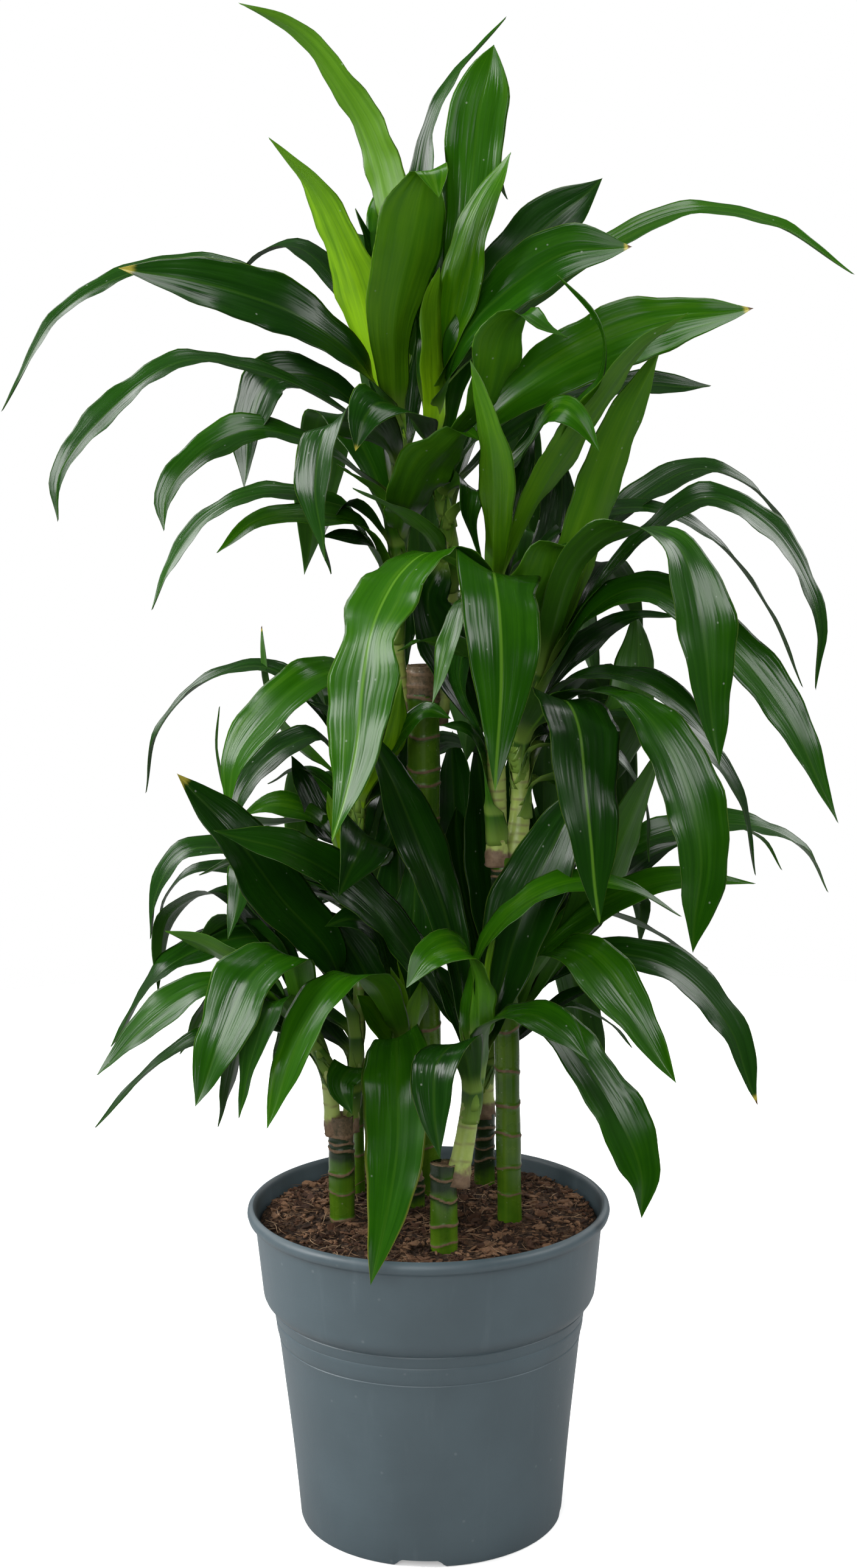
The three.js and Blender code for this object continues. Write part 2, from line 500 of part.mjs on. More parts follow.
function soilBody() {
  const inside = potInside.filter(([, z]) => z < soilLevel - 1).reverse();
  const profile = [[0, footHeight + wall + gap]];
  profile.push([inside[0][0] - gap, footHeight + wall + gap]);
  for (const [radius, z] of inside.slice(1)) profile.push([radius - soilClearance, z]);
  profile.push([soilRadius, soilLevel], [70, soilCrown - 1], [0, soilCrown]);
  let body = toSolid(turned(profile, potSides));
  for (const cane of Object.values(canes)) body = body.subtract(caneHole(cane));
  return body;
}

// ---------------------------------------------------------------- shoots and leaves

const smooth = (from, to, x) => THREE.MathUtils.smoothstep(x, from, to);
const fraction = (x) => x - Math.floor(x);

function curveThrough(points) {
  const corners = points.map((p) => new THREE.Vector3(...p));
  return new THREE.CatmullRomCurve3(corners, false, 'centripetal');
}

function shootBody({ axis, radii }) {
  const curve = curveThrough(axis);
  const steps = Math.max(3, Math.round(curve.getLength() / shootStep));
  const rings = [];
  for (let i = 0; i <= steps; i++) {
    const centre = curve.getPointAt(i / steps);
    const along = curve.getTangentAt(i / steps);
    const side = new THREE.Vector3(1, 0, 0).addScaledVector(along, -along.x).normalize();
    const front = new THREE.Vector3().crossVectors(along, side);
    const radius = THREE.MathUtils.lerp(radii[0], radii[1], i / steps);
    const ring = [];
    for (let k = 0; k < shootSides; k++) {
      const angle = 2 * Math.PI * k / shootSides;
      ring.push(centre.clone()
        .addScaledVector(side, radius * Math.cos(angle))
        .addScaledVector(front, radius * Math.sin(angle)));
    }
    rings.push(ring);
  }
  return toSolid(skinned(rings));
}

// Half width along a blade over its greatest: narrow where it clasps the stem, fullest
// past the middle, then drawn out to a long point.
function bladeOutline(u, fullest) {
  const start = fullest - 0.05;
  const taper = THREE.MathUtils.clamp((u - start) / (1 - start), 0, 1);
  const belly = 0.4 + 0.6 * smooth(0.05, fullest, u);
  const clasp = 0.35 + 0.65 * smooth(0, 0.08, u);
  return belly * clasp * Math.pow(1 - Math.pow(taper, 2.6), 1.15);
}

// One blade: three points to a ring, two thin edges and the keel under the midrib.
function bladeBody([width, roll, fullest, ...midrib], index) {
  const [x, y, z] = midrib[0];
  const start = [x + footOffset * Math.cos(footTurn * index), y + footOffset * Math.sin(footTurn * index), z];
  const curve = curveThrough([start, ...midrib.slice(1)]);
  const steps = THREE.MathUtils.clamp(Math.round(curve.getLength() / bladeStep), 3, 6);
  const foot = midrib[0];
  const tip = midrib[midrib.length - 1];
  const heading = Math.atan2(tip[1] - foot[1], tip[0] - foot[0]);
  const across = new THREE.Vector3(-Math.sin(heading), Math.cos(heading), 0);
  const rings = [];
  for (let i = 0; i < steps; i++) {
    const u = i / steps;
    const centre = curve.getPointAt(u);
    const along = curve.getTangentAt(u);
    const flat = across.clone().addScaledVector(along, -across.dot(along)).normalize();
    const angle = THREE.MathUtils.degToRad(roll) * smooth(0, rollStart, u);
    const side = flat.clone().applyAxisAngle(along, angle);
    const face = new THREE.Vector3().crossVectors(along, side);
    const half = width / 2 * bladeOutline(u, fullest);
    const wave = edgeWave * half * Math.sin(2 * Math.PI * waveCount * u + midrib[0][2]);
    rings.push([
      centre.clone().addScaledVector(side, half).addScaledVector(face, wave),
      centre.clone().addScaledVector(side, -half).addScaledVector(face, -wave),
      centre.clone().addScaledVector(face, -keel - keelShare * half),
    ]);
  }
  return toSolid(skinned(rings, new THREE.Vector3(...tip)));
}

// Rear leaves, from the lowest to the highest: lower ones reach out and hang, upper ones
// stand up. The golden-ratio step spreads them round the shoot.
function rearLeaves({ low, high, turn, count, reach, width, lift }) {
  const rows = [];
  for (let k = 0; k < count; k++) {
    const level = (k + 0.5) / count;
    const heading = THREE.MathUtils.degToRad(turn[0] + (turn[1] - turn[0]) * fraction(0.31 + 0.618 * k));
    const run = reach * (1 - 0.35 * level) * (0.86 + 0.28 * fraction(0.2 + 0.377 * k));
    const rise = lift * (70 + 110 * level) * (0.85 + 0.3 * fraction(0.5 + 0.733 * k));
    const fall = (0.5 + 0.5 * lift) * 170 * Math.pow(1 - level, 1.2) + 8;
    const foot = low.map((value, i) => value + (high[i] - value) * level);
    const along = (out, up) => [
      foot[0] + out * run * Math.cos(heading),
      foot[1] + out * run * Math.sin(heading),
      foot[2] + up,
    ];
    const roll = -24 + 48 * fraction(0.1 + 0.447 * k);
    rows.push([
      width * (0.85 + 0.3 * fraction(0.541 * k)), roll, 0.5,
      foot, along(0.26, 0.62 * rise), along(0.62, rise), along(1, rise - fall),
    ]);
  }
  return rows;
}

// Fusing many blades can seal a small hollow between them or leave a loose scrap: only the
// skin with the most triangles is kept, so hollows are filled and scraps are dropped.
function mainBody(solid) {
  const { triVerts, vertProperties } = solid.getMesh();
  const parent = Uint32Array.from({ length: vertProperties.length / 3 }, (_, i) => i);
  const rootOf = (v) => {
    let root = v;
    while (parent[root] !== root) root = parent[root];
    return root;
  };
  for (let i = 0; i < triVerts.length; i += 3) {
    const root = rootOf(triVerts[i]);
    parent[rootOf(triVerts[i + 1])] = root;
    parent[rootOf(triVerts[i + 2])] = root;
  }
  const skins = new Map();
  for (let i = 0; i < triVerts.length; i += 3) {
    const root = rootOf(triVerts[i]);
    if (!skins.has(root)) skins.set(root, []);
    skins.get(root).push(...triVerts.slice(i, i + 3));
  }
  const largest = [...skins.values()].sort((a, b) => b.length - a.length)[0];
  const skin = Uint32Array.from(largest);
  const parted = partFolds(vertProperties, skin);
  return new wasm.Manifold(new wasm.Mesh({ numProp: 3, vertProperties: parted, triVerts: skin }));
}

// Where two folds of a skin meet in one point, each is drawn in by a hair so that they part.
function partFolds(positions, triangles) {
  const geometry = new THREE.BufferGeometry();
  geometry.setAttribute('position', new THREE.BufferAttribute(positions.slice(), 3));
  geometry.setIndex(new THREE.BufferAttribute(triangles, 1));
  geometry.computeVertexNormals();
  const normals = geometry.attributes.normal.array;
  const moved = geometry.attributes.position.array;
  const used = [...new Set(triangles)];
  const points = used.map((v) => new THREE.Vector3().fromArray(positions, 3 * v));
  used.forEach((v, at) => {
    if (!points.some((point, other) => other !== at && point.distanceTo(points[at]) < foldReach)) return;
    for (let i = 0; i < 3; i++) moved[3 * v + i] -= foldGap * normals[3 * v + i];
  });
  return moved;
}

function headBody({ cane, shoots, leaves, rear }) {
  const rows = rear ? [...leaves, ...rearLeaves(rear)] : leaves;
  let body = shoots.map(shootBody).reduce((all, one) => all.add(one));
  rows.forEach((row, index) => { body = body.add(bladeBody(row, index)); });
  return mainBody(body.subtract(caneRoom(canes[cane])));
}

// ---------------------------------------------------------------- the plant

const plant = new THREE.Group();

function place(name, solid, finish) {
  const look = { ...finishes[finish], metalness: 0, side: THREE.DoubleSide };
  const material = new THREE.MeshStandardMaterial(look);
  const mesh = new THREE.Mesh(toGeometry(solid), material);
  mesh.name = name;
  plant.add(mesh);
}

place('pot', potWall(), 'pot');
place('soil', soilBody(), 'soil');
for (const [name, cane] of Object.entries(canes)) place(name, caneBody(cane), 'cane');
for (const head of heads) place(head.name, headBody(head), 'leaf');

export default plant;
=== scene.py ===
"""Potted corn plant: a blue-grey nursery pot, bark soil, sawn green canes and heads of strap leaves.

The studio is measured in metres. The plant's own sizes are millimetres, as a grower measures them,
and MM turns them into metres. The origin is on the pot's axis where it stands on the floor, +X is
right and -Y is the front.
"""

import math

import bpy
import numpy as np
from mathutils import Matrix, Vector


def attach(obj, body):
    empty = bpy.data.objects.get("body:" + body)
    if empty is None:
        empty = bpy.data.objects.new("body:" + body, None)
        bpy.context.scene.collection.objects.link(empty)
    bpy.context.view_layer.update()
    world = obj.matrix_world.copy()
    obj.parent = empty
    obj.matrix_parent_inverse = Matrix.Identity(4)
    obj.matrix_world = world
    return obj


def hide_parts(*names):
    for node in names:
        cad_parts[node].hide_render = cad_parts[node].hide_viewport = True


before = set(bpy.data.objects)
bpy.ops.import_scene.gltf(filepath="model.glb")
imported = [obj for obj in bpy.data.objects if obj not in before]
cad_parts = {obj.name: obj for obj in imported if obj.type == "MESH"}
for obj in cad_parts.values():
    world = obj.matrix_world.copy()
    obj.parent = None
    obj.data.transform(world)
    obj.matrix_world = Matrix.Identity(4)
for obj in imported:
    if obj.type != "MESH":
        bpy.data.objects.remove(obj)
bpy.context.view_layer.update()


# ------------------------------------------------------------------ studio
# A pale seamless floor in a white studio. Four soft panels light the plant from the left, the right,
# the front and above, and two weak ones behind it shine through the leaves. The camera stands 1.7 m
# in front and looks a little down.

CAMERA_PLACE = (0.003, -1.719, 0.834)
CAMERA_DIP = 9.12          # degrees below level
CAMERA_ROLL = -0.55
CAMERA_LENS = 54.99        # for a 36 mm sensor along the picture's height

camera_data = bpy.data.cameras.new("camera")
camera_data.lens = CAMERA_LENS
camera_data.sensor_width = 36
camera_data.sensor_fit = "AUTO"
camera = bpy.data.objects.new("camera", camera_data)
camera.matrix_world = (
    Matrix.Translation(CAMERA_PLACE)
    @ Matrix.Rotation(math.radians(90 - CAMERA_DIP), 4, "X")
    @ Matrix.Rotation(math.radians(CAMERA_ROLL), 4, "Z")
)
bpy.context.scene.collection.objects.link(camera)
bpy.context.scene.camera = camera


def soft_panel(name, place, aim, size, watts):
    """A softbox of the given width and height that faces its aim."""
    data = bpy.data.lights.new(name, "AREA")
    data.shape = "RECTANGLE"
    data.size, data.size_y = size
    data.energy = watts
    panel = bpy.data.objects.new(name, data)
    panel.location = place
    panel.rotation_euler = (Vector(aim) - Vector(place)).to_track_quat("-Z", "Y").to_euler()
    panel.visible_camera = False
    bpy.context.scene.collection.objects.link(panel)


soft_panel("panel_left", (-1.93, -0.27, 1.54), (0, 0, 0.75), (0.9, 1.2), 62)
soft_panel("panel_right", (1.87, -0.36, 1.66), (0, 0, 0.7), (0.65, 1.0), 27)
soft_panel("panel_front", (-0.5, -2.7, 1.7), (0, 0, 0.6), (2.0, 2.0), 66)
soft_panel("panel_overhead", (-0.1, 0.2, 2.8), (0, 0, 0.6), (1.2, 1.2), 32)
soft_panel("panel_behind_left", (-1.5, 1.7, 1.5), (0, 0, 0.7), (1.1, 1.1), 16)
soft_panel("panel_behind_right", (1.5, 1.6, 1.5), (0, 0, 0.7), (1.1, 1.1), 14)


def put(tree, socket, value):
    """Sets a socket, or links another node's output to it."""
    if isinstance(value, bpy.types.NodeSocket):
        tree.links.new(value, socket)
    else:
        socket.default_value = value


def wire(tree, kind, inputs=(), **settings):
    """One shader node. inputs has a value or another node's output for a socket's name or number."""
    node = tree.nodes.new(kind)
    for name, value in settings.items():
        setattr(node, name, value)
    for name, value in dict(inputs).items():
        put(tree, node.inputs[name], value)
    return node


def maths(tree, operation, first, second=0.0):
    """One Math node's result, from values or outputs."""
    return wire(tree, "ShaderNodeMath", {0: first, 1: second}, operation=operation).outputs[0]


def between(tree, value, low, high, to_low=0.0, to_high=1.0, smooth=True):
    """A value's place between two limits, clamped."""
    node = wire(tree, "ShaderNodeMapRange",
                {"Value": value, "From Min": low, "From Max": high, "To Min": to_low, "To Max": to_high},
                interpolation_type="SMOOTHSTEP" if smooth else "LINEAR")
    return node.outputs[0]


def tint(tree, factor, base, over):
    """Mixes one colour over another by a factor."""
    return wire(tree, "ShaderNodeMix", {0: factor, 6: base, 7: over}, data_type="RGBA").outputs[2]


def new_material(name):
    """A node material, with its node tree and its Principled shader."""
    material = bpy.data.materials.new(name)
    material.use_nodes = True
    return material, material.node_tree, material.node_tree.nodes["Principled BSDF"]


def turns(count):
    """Even angles round a circle."""
    return [2 * math.pi * k / count for k in range(count)]


# The studio is white behind the plant and dim on the camera's side, so the leaves keep deep greens.
SKY_DIM = 0.08
SKY_WHITE = 0.75
SKY_DIM_UNTIL = -0.35      # how far back a direction points where the sky starts to pale
SKY_WHITE_FROM = 0.55      # and where it is white
SKY_SHEEN = 0.15           # share of it that shows as sheen on the leaves

sky = bpy.data.worlds.new("studio_sky")
sky.use_nodes = True
tree = sky.node_tree
direction = wire(tree, "ShaderNodeTexCoord").outputs["Generated"]
backward = wire(tree, "ShaderNodeSeparateXYZ", {0: direction}).outputs["Y"]
ray = wire(tree, "ShaderNodeLightPath").outputs
sky_glow = between(tree, backward, SKY_DIM_UNTIL, SKY_WHITE_FROM, SKY_DIM, SKY_WHITE)
sky_veil = between(tree, ray["Is Glossy Ray"], 0, 1, 1, SKY_SHEEN, smooth=False)
sky_lit = maths(tree, "MULTIPLY", sky_glow, sky_veil)
sky_strength = maths(tree, "MAXIMUM", sky_lit, ray["Is Camera Ray"])
tree.links.new(sky_strength, tree.nodes["Background"].inputs["Strength"])
tree.nodes["Background"].inputs["Color"].default_value = (1, 1, 1, 1)
bpy.context.scene.world = sky
bpy.context.scene.view_settings.view_transform = "Standard"

FLOOR_RADIUS = 1.75
FLOOR_SIDES = 96
FLOOR_SEEN = (0.93, 0.93, 0.93, 1)
FLOOR_BOUNCE = (0.42, 0.42, 0.42, 1)     # what it gives back to the plant, kept low for deep shadows
FLOOR_GLOW = 0.3                         # lifts the floor that the camera sees to the sky's white

floor_rim = [(FLOOR_RADIUS * math.cos(turn), FLOOR_RADIUS * math.sin(turn), 0) for turn in turns(FLOOR_SIDES)]
floor_mesh = bpy.data.meshes.new("floor")
floor_mesh.from_pydata(floor_rim, [], [list(range(FLOOR_SIDES))])
floor = bpy.data.objects.new("floor", floor_mesh)
bpy.context.scene.collection.objects.link(floor)
floor_paint, tree, shader = new_material("floor_paint")
seen = wire(tree, "ShaderNodeLightPath").outputs["Is Camera Ray"]
tree.links.new(tint(tree, seen, FLOOR_BOUNCE, FLOOR_SEEN), shader.inputs["Base Color"])
shader.inputs["Roughness"].default_value = 1.0
shader.inputs["Specular IOR Level"].default_value = 0.0
shader.inputs["Emission Color"].default_value = (1, 1, 1, 1)
tree.links.new(maths(tree, "MULTIPLY", seen, FLOOR_GLOW), shader.inputs["Emission Strength"])
floor_mesh.materials.append(floor_paint)


# ------------------------------------------------------------------ pot
# An injection-moulded nursery pot in blue-grey plastic: a thin tapered wall with a stacking
# shoulder, a rolled rim, a flat floor with drain holes and a foot ring with four water notches.

MM = 0.001
POT_HEIGHT = 243
RIM_RADIUS = 135
WALL = 2.4
FOOT_HEIGHT = 6
FOOT_INSIDE = 92
FOOT_SPREAD = 1.04         # the foot ring's middle over its inner radius
NOTCH_TURNS = (-95, -5, 85, 175)
NOTCH_TOP = 27
NOTCH_BOTTOM = 37
NOTCH_DEPTH = 5.1
DRAIN_HOLES = 6
DRAIN_RADIUS = 6
DRAIN_CIRCLE = 66
DRAIN_SIDES = 32
POT_TURNS = 288
FLOOR_TOP = FOOT_HEIGHT + WALL
# radius and height up the outside, over the rim and down the inside
POT_WALL = (
    (FOOT_INSIDE, 0), (97.2, 0), (98.6, 0.6), (99.2, 2.4), (101, 25), (103.4, 52), (106.2, 80), (109.3, 108),
    (111.9, 131.6), (113, 142), (113.5, 143.6), (113.1, 144.3), (113.6, 145.4), (114.5, 148.2),
    (115.1, 151.6), (115.4, 155), (115.8, 157.4), (115.4, 158.2), (115.9, 159.6), (116.6, 162),
    (117.1, 164.8), (117.6, 166.4), (117.1, 167.2), (118.6, 168.5), (120.6, 170.5), (122.8, 173.4),
    (124.1, 176.4), (124.6, 180), (126.5, 200), (129, 226), (129.4, 229.6), (129.9, 231.6), (131.2, 233),
    (132.8, 233.7), (134.5, 235.2), (RIM_RADIUS + 0.3, 237.8), (134.8, 240.4), (132.8, 242.5),
    (131, POT_HEIGHT), (129.6, 242), (128.7, 239), (127.8, 230), (126.8, 226), (124.4, 200), (121.9, 184),
    (120.4, 178), (117.4, 172.6), (114.2, 167.4), (112.6, 160), (109, 120), (104, 70),
    (99.6, 22), (98.6, 12), (96.4, FLOOR_TOP + 0.8), (92, FLOOR_TOP), (76, FLOOR_TOP), (56, FLOOR_TOP),
    (30, FLOOR_TOP), (0, FLOOR_TOP), (0, FOOT_HEIGHT), (30, FOOT_HEIGHT), (56, FOOT_HEIGHT),
    (76, FOOT_HEIGHT), (90.6, FOOT_HEIGHT), (91.6, FOOT_HEIGHT - 0.8),
)


def notch_rise(angle, height):
    """A foot-ring point's height, lifted where a notch is cut. The notch widens towards the floor."""
    if height > NOTCH_DEPTH:
        return height
    for turn in NOTCH_TURNS:
        off = abs(math.remainder(angle - math.radians(turn), 2 * math.pi)) * FOOT_INSIDE * FOOT_SPREAD
        share = (NOTCH_BOTTOM / 2 - off) / ((NOTCH_BOTTOM - NOTCH_TOP) / 2)
        height = max(height, NOTCH_DEPTH * min(max(share, 0), 1))
    return height


def mesh_object(name, points, faces, materials, smooth=True):
    """A new object from points in millimetres."""
    mesh = bpy.data.meshes.new(name)
    mesh.from_pydata([(x * MM, y * MM, z * MM) for x, y, z in points], [], faces)
    for material in materials:
        mesh.materials.append(material)
    if smooth:
        mesh.shade_smooth()
    thing = bpy.data.objects.new(name, mesh)
    bpy.context.scene.collection.objects.link(thing)
    return thing


def band(low, high, sides):
    """The faces between two rings of points, given the number of each ring's first point."""
    return [(low + k, low + (k + 1) % sides, high + (k + 1) % sides, high + k) for k in range(sides)]


def cap(first, sides, down=False):
    """One face over a ring of points, looking up or down."""
    ring = list(range(first, first + sides))
    return ring[::-1] if down else ring


def moulded_pot():
    """The pot's wall turned about its axis, where a whole ring is a single point."""
    points = []
    rows = []
    for radius, height in POT_WALL:
        if radius == 0:
            points.append((0, 0, height))
            rows.append([len(points) - 1] * POT_TURNS)
            continue
        rows.append(list(range(len(points), len(points) + POT_TURNS)))
        for angle in turns(POT_TURNS):
            points.append((radius * math.cos(angle), radius * math.sin(angle), notch_rise(angle, height)))
    faces = []
    for row, above in zip(rows, rows[1:] + rows[:1]):
        for k in range(POT_TURNS):
            after = (k + 1) % POT_TURNS
            face = list(dict.fromkeys((row[k], row[after], above[after], above[k])))
            if len(face) > 2:
                faces.append(face)
    return points, faces


def drilled(thing):
    """Cuts the drain holes through the floor."""
    points = []
    faces = []
    for turn in turns(DRAIN_HOLES):
        start = len(points)
        for z in (FOOT_HEIGHT - 3, FLOOR_TOP + 3):
            for angle in turns(DRAIN_SIDES):
                points.append((DRAIN_CIRCLE * math.cos(turn) + DRAIN_RADIUS * math.cos(angle),
                               DRAIN_CIRCLE * math.sin(turn) + DRAIN_RADIUS * math.sin(angle), z))
        faces.append(cap(start, DRAIN_SIDES, down=True))
        faces.append(cap(start + DRAIN_SIDES, DRAIN_SIDES))
        faces += band(start, start + DRAIN_SIDES, DRAIN_SIDES)
    drill = mesh_object("drill", points, faces, [], smooth=False)
    cut = thing.modifiers.new("drain_holes", "BOOLEAN")
    cut.operation = "DIFFERENCE"
    cut.solver = "EXACT"
    cut.object = drill
    bpy.context.view_layer.objects.active = thing
    bpy.ops.object.modifier_apply(modifier=cut.name)
    bpy.data.objects.remove(drill)


def new_effect(name, inputs, outputs):
    """An empty node group with named float or vector sockets, and its two end nodes."""
    kinds = {"float": "NodeSocketFloat", "vector": "NodeSocketVector"}
    tree = bpy.data.node_groups.new(name, "ShaderNodeTree")
    for label, kind in inputs:
        tree.interface.new_socket(name=label, in_out="INPUT", socket_type=kinds[kind])
    for label, kind in outputs:
        tree.interface.new_socket(name=label, in_out="OUTPUT", socket_type=kinds[kind])
    return tree, tree.nodes.new("NodeGroupInput").outputs, tree.nodes.new("NodeGroupOutput").inputs


def effect_node(tree, effect, inputs):
    """Places an effect in a material and gives its outputs."""
    return wire(tree, "ShaderNodeGroup", inputs, node_tree=effect).outputs


def noise(tree, place, scale, detail, roughness=0.5):
    """Soft random values, mostly between 0.3 and 0.7."""
    return wire(tree, "ShaderNodeTexNoise",
                {"Vector": place, "Scale": scale, "Detail": detail, "Roughness": roughness}).outputs[0]


def stretched(tree, place, scale):
    """A place scaled unevenly, for a pattern that runs one way."""
    return wire(tree, "ShaderNodeMapping", {"Vector": place, "Scale": scale}).outputs[0]


def sum_of(tree, *terms):
    """Adds (output, weight) pairs and plain outputs or numbers."""
    total = None
    for term in terms:
        if isinstance(term, tuple):
            term = maths(tree, "MULTIPLY", *term)
        total = term if total is None else maths(tree, "ADD", total, term)
    return total


def bumped(tree, shader, height, strength, distance):
    """Gives a shader's surface a relief, and returns the normal."""
    bump = wire(tree, "ShaderNodeBump", {"Height": height, "Strength": strength, "Distance": distance})
    tree.links.new(bump.outputs[0], shader.inputs["Normal"])
    return bump.outputs[0]


# Dust: small pale specks, each a random cell of a Voronoi pattern kept only where its draw is low.
SPECK_EDGE = 0.26          # a speck's radius in cells, and where it is solid
SPECK_SOLID = 0.1
dust, dust_in, dust_out = new_effect(
    "dust", [("Place", "vector"), ("Cells", "float"), ("Share", "float")], [("Mask", "float")])
dust_cells = wire(dust, "ShaderNodeTexVoronoi", {"Vector": dust_in["Place"], "Scale": dust_in["Cells"]})
dust_draw = wire(dust, "ShaderNodeSeparateColor", {"Color": dust_cells.outputs["Color"]}).outputs["Red"]
dust_kept = maths(dust, "LESS_THAN", dust_draw, dust_in["Share"])
dust_spot = between(dust, dust_cells.outputs["Distance"], SPECK_EDGE, SPECK_SOLID, smooth=False)
dust.links.new(maths(dust, "MULTIPLY", dust_spot, dust_kept), dust_out["Mask"])

# Mottle: soft patches of lighter and darker, from -1 to 1.
mottle, mottle_in, mottle_out = new_effect(
    "mottle", [("Place", "vector"), ("Scale", "float")], [("Height", "float")])
mottle_noise = noise(mottle, mottle_in["Place"], mottle_in["Scale"], 4, 0.55)
mottle.links.new(between(mottle, mottle_noise, 0.3, 0.7, -1, 1, smooth=False), mottle_out["Height"])

POT_COLOUR = (0.058, 0.085, 0.099, 1)
POT_RUBBED = (0.088, 0.119, 0.134, 1)
POT_SHADED = (0.048, 0.071, 0.083, 1)
POT_DUST = (0.3, 0.33, 0.34, 1)

pot_plastic, tree, shader = new_material("pot_plastic")
place = wire(tree, "ShaderNodeTexCoord").outputs["Object"]
patches = effect_node(tree, mottle, {"Place": place, "Scale": 14})["Height"]
scuffs = noise(tree, stretched(tree, place, (60, 60, 7)), 1, 6, 0.6)
grain = noise(tree, place, 900, 2)
turned_lines = noise(tree, stretched(tree, place, (3, 3, 620)), 1, 3)
pot_specks = effect_node(tree, dust, {"Place": place, "Cells": 170, "Share": 0.035})["Mask"]
colour = tint(tree, between(tree, patches, -1, 1), POT_SHADED, POT_COLOUR)
colour = tint(tree, between(tree, scuffs, 0.56, 0.78, 0, 0.42), colour, POT_RUBBED)
colour = tint(tree, sum_of(tree, (pot_specks, 0.15)), colour, POT_DUST)
tree.links.new(colour, shader.inputs["Base Color"])
tree.links.new(sum_of(tree, 0.43, (patches, 0.05), (scuffs, 0.12)), shader.inputs["Roughness"])
bumped(tree, shader, sum_of(tree, (grain, 0.5), (turned_lines, 0.5), (scuffs, 0.25)), 0.22, 0.0006)

pot = mesh_object("nursery_pot", *moulded_pot(), [pot_plastic])
drilled(pot)
pot.data.set_sharp_from_angle(angle=math.radians(42))
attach(pot, "root")
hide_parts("pot")


# ------------------------------------------------------------------ soil
# A dry potting mix of bark, coir and peat, filled to just under the rim. The bed is one crumbly
# surface, with bark chips, crumbs and coir fibres lying loose on it.

SOIL_RADIUS = 126
SOIL_LEVEL = 231
SOIL_CROWN = 235
SOIL_EDGE = 119            # from here out the bed drops towards the wall
EDGE_DROP = 3.2
SOIL_RINGS = 74
RING_CROWDING = 0.86       # under 1, so the bed's rings lie closer towards the wall
SOIL_SPOKES = 300
CRUMB_HEIGHT = 0.55        # roughness from point to point, full from CRUMB_FROM outwards
CRUMB_FROM = 30
SOIL_WAVES = 46
WAVE_HEIGHT = 0.022        # of the waves, which are lower the shorter they are
# the root ball's radius and height, down the pot's wall to its floor
ROOT_BALL = ((125.6, 224), (123.4, 200), (120.4, 176), (111.6, 156), (97, 24), (94, 9))
# where each cane stands in the soil, and its radius
CANES = {
    "cane_left": (-64, -14, 9.7),
    "cane_thin": (-53, 47, 4.4),
    "cane_front": (11, -78, 9.8),
    "cane_right": (61, -21, 9.2),
    "cane_back": (43, 67, 8.1),
    "cane_tall": (-3, 46, 12.4),
    "cane_stub": (-12, 12, 9),
}

soil_draw = np.random.default_rng(27)
# waves that make the bed uneven, each with a pitch, a heading and a phase
soil_waves = [
    (soil_draw.uniform(0.02, 0.32), soil_draw.uniform(0, 2 * math.pi), soil_draw.uniform(0, 2 * math.pi))
    for _ in range(SOIL_WAVES)
]


def soil_height(x, y):
    """The bed's height: a low crown, hollows and lumps, and an edge that drops at the wall."""
    radius = math.hypot(x, y)
    height = SOIL_CROWN - (SOIL_CROWN - SOIL_LEVEL) * (radius / SOIL_RADIUS) ** 2
    for pitch, turn, phase in soil_waves:
        across = x * math.cos(turn) + y * math.sin(turn)
        height += WAVE_HEIGHT / (pitch + 0.03) ** 0.55 * math.sin(pitch * across * 2 + phase)
    return height - EDGE_DROP * max(0, (radius - SOIL_EDGE) / (SOIL_RADIUS - SOIL_EDGE)) ** 2


def soil_bed():
    """The crumbly surface, ring by ring from the middle, and the root ball under it."""
    points = []
    faces = []
    lump = soil_draw.normal(0, 1, (SOIL_RINGS + 1, SOIL_SPOKES))
    for ring in range(SOIL_RINGS + 1):
        radius = SOIL_RADIUS * (ring / SOIL_RINGS) ** RING_CROWDING
        for k, angle in enumerate(turns(SOIL_SPOKES)):
            x = radius * math.cos(angle)
            y = radius * math.sin(angle)
            rough = CRUMB_HEIGHT * lump[ring, k] * min(1, radius / CRUMB_FROM)
            points.append((x, y, soil_height(x, y) + rough))
    for radius, height in ROOT_BALL:
        for angle in turns(SOIL_SPOKES):
            points.append((radius * math.cos(angle), radius * math.sin(angle), height))
    last = len(points) - SOIL_SPOKES
    for inner in range(0, last, SOIL_SPOKES):
        outer = inner + SOIL_SPOKES
        for k in range(SOIL_SPOKES):
            after = (k + 1) % SOIL_SPOKES
            faces.append((inner + k, outer + k, outer + after, inner + after))
    faces.append(cap(last, SOIL_SPOKES, down=True))
    faces.append(cap(0, SOIL_SPOKES))
    return points, faces


def clear_of_canes(x, y, room):
    """Whether a place on the bed has room beside every cane."""
    return all(math.hypot(x - cx, y - cy) > radius + room for cx, cy, radius in CANES.values())


def soil_spots(count, room):
    """Random places on the bed, evenly spread and clear of the canes."""
    spots = []
    while len(spots) < count:
        radius = (SOIL_RADIUS - room) * math.sqrt(soil_draw.random())
        angle = soil_draw.uniform(0, 2 * math.pi)
        x = radius * math.cos(angle)
        y = radius * math.sin(angle)
        if clear_of_canes(x, y, room * 0.5):
            spots.append((x, y))
    return spots


CHIP_SIDES = 9
CHIP_LAYERS = ((-1, 0.82), (-0.2, 1), (0.6, 0.95), (1, 0.6))     # height over the half thickness, and width


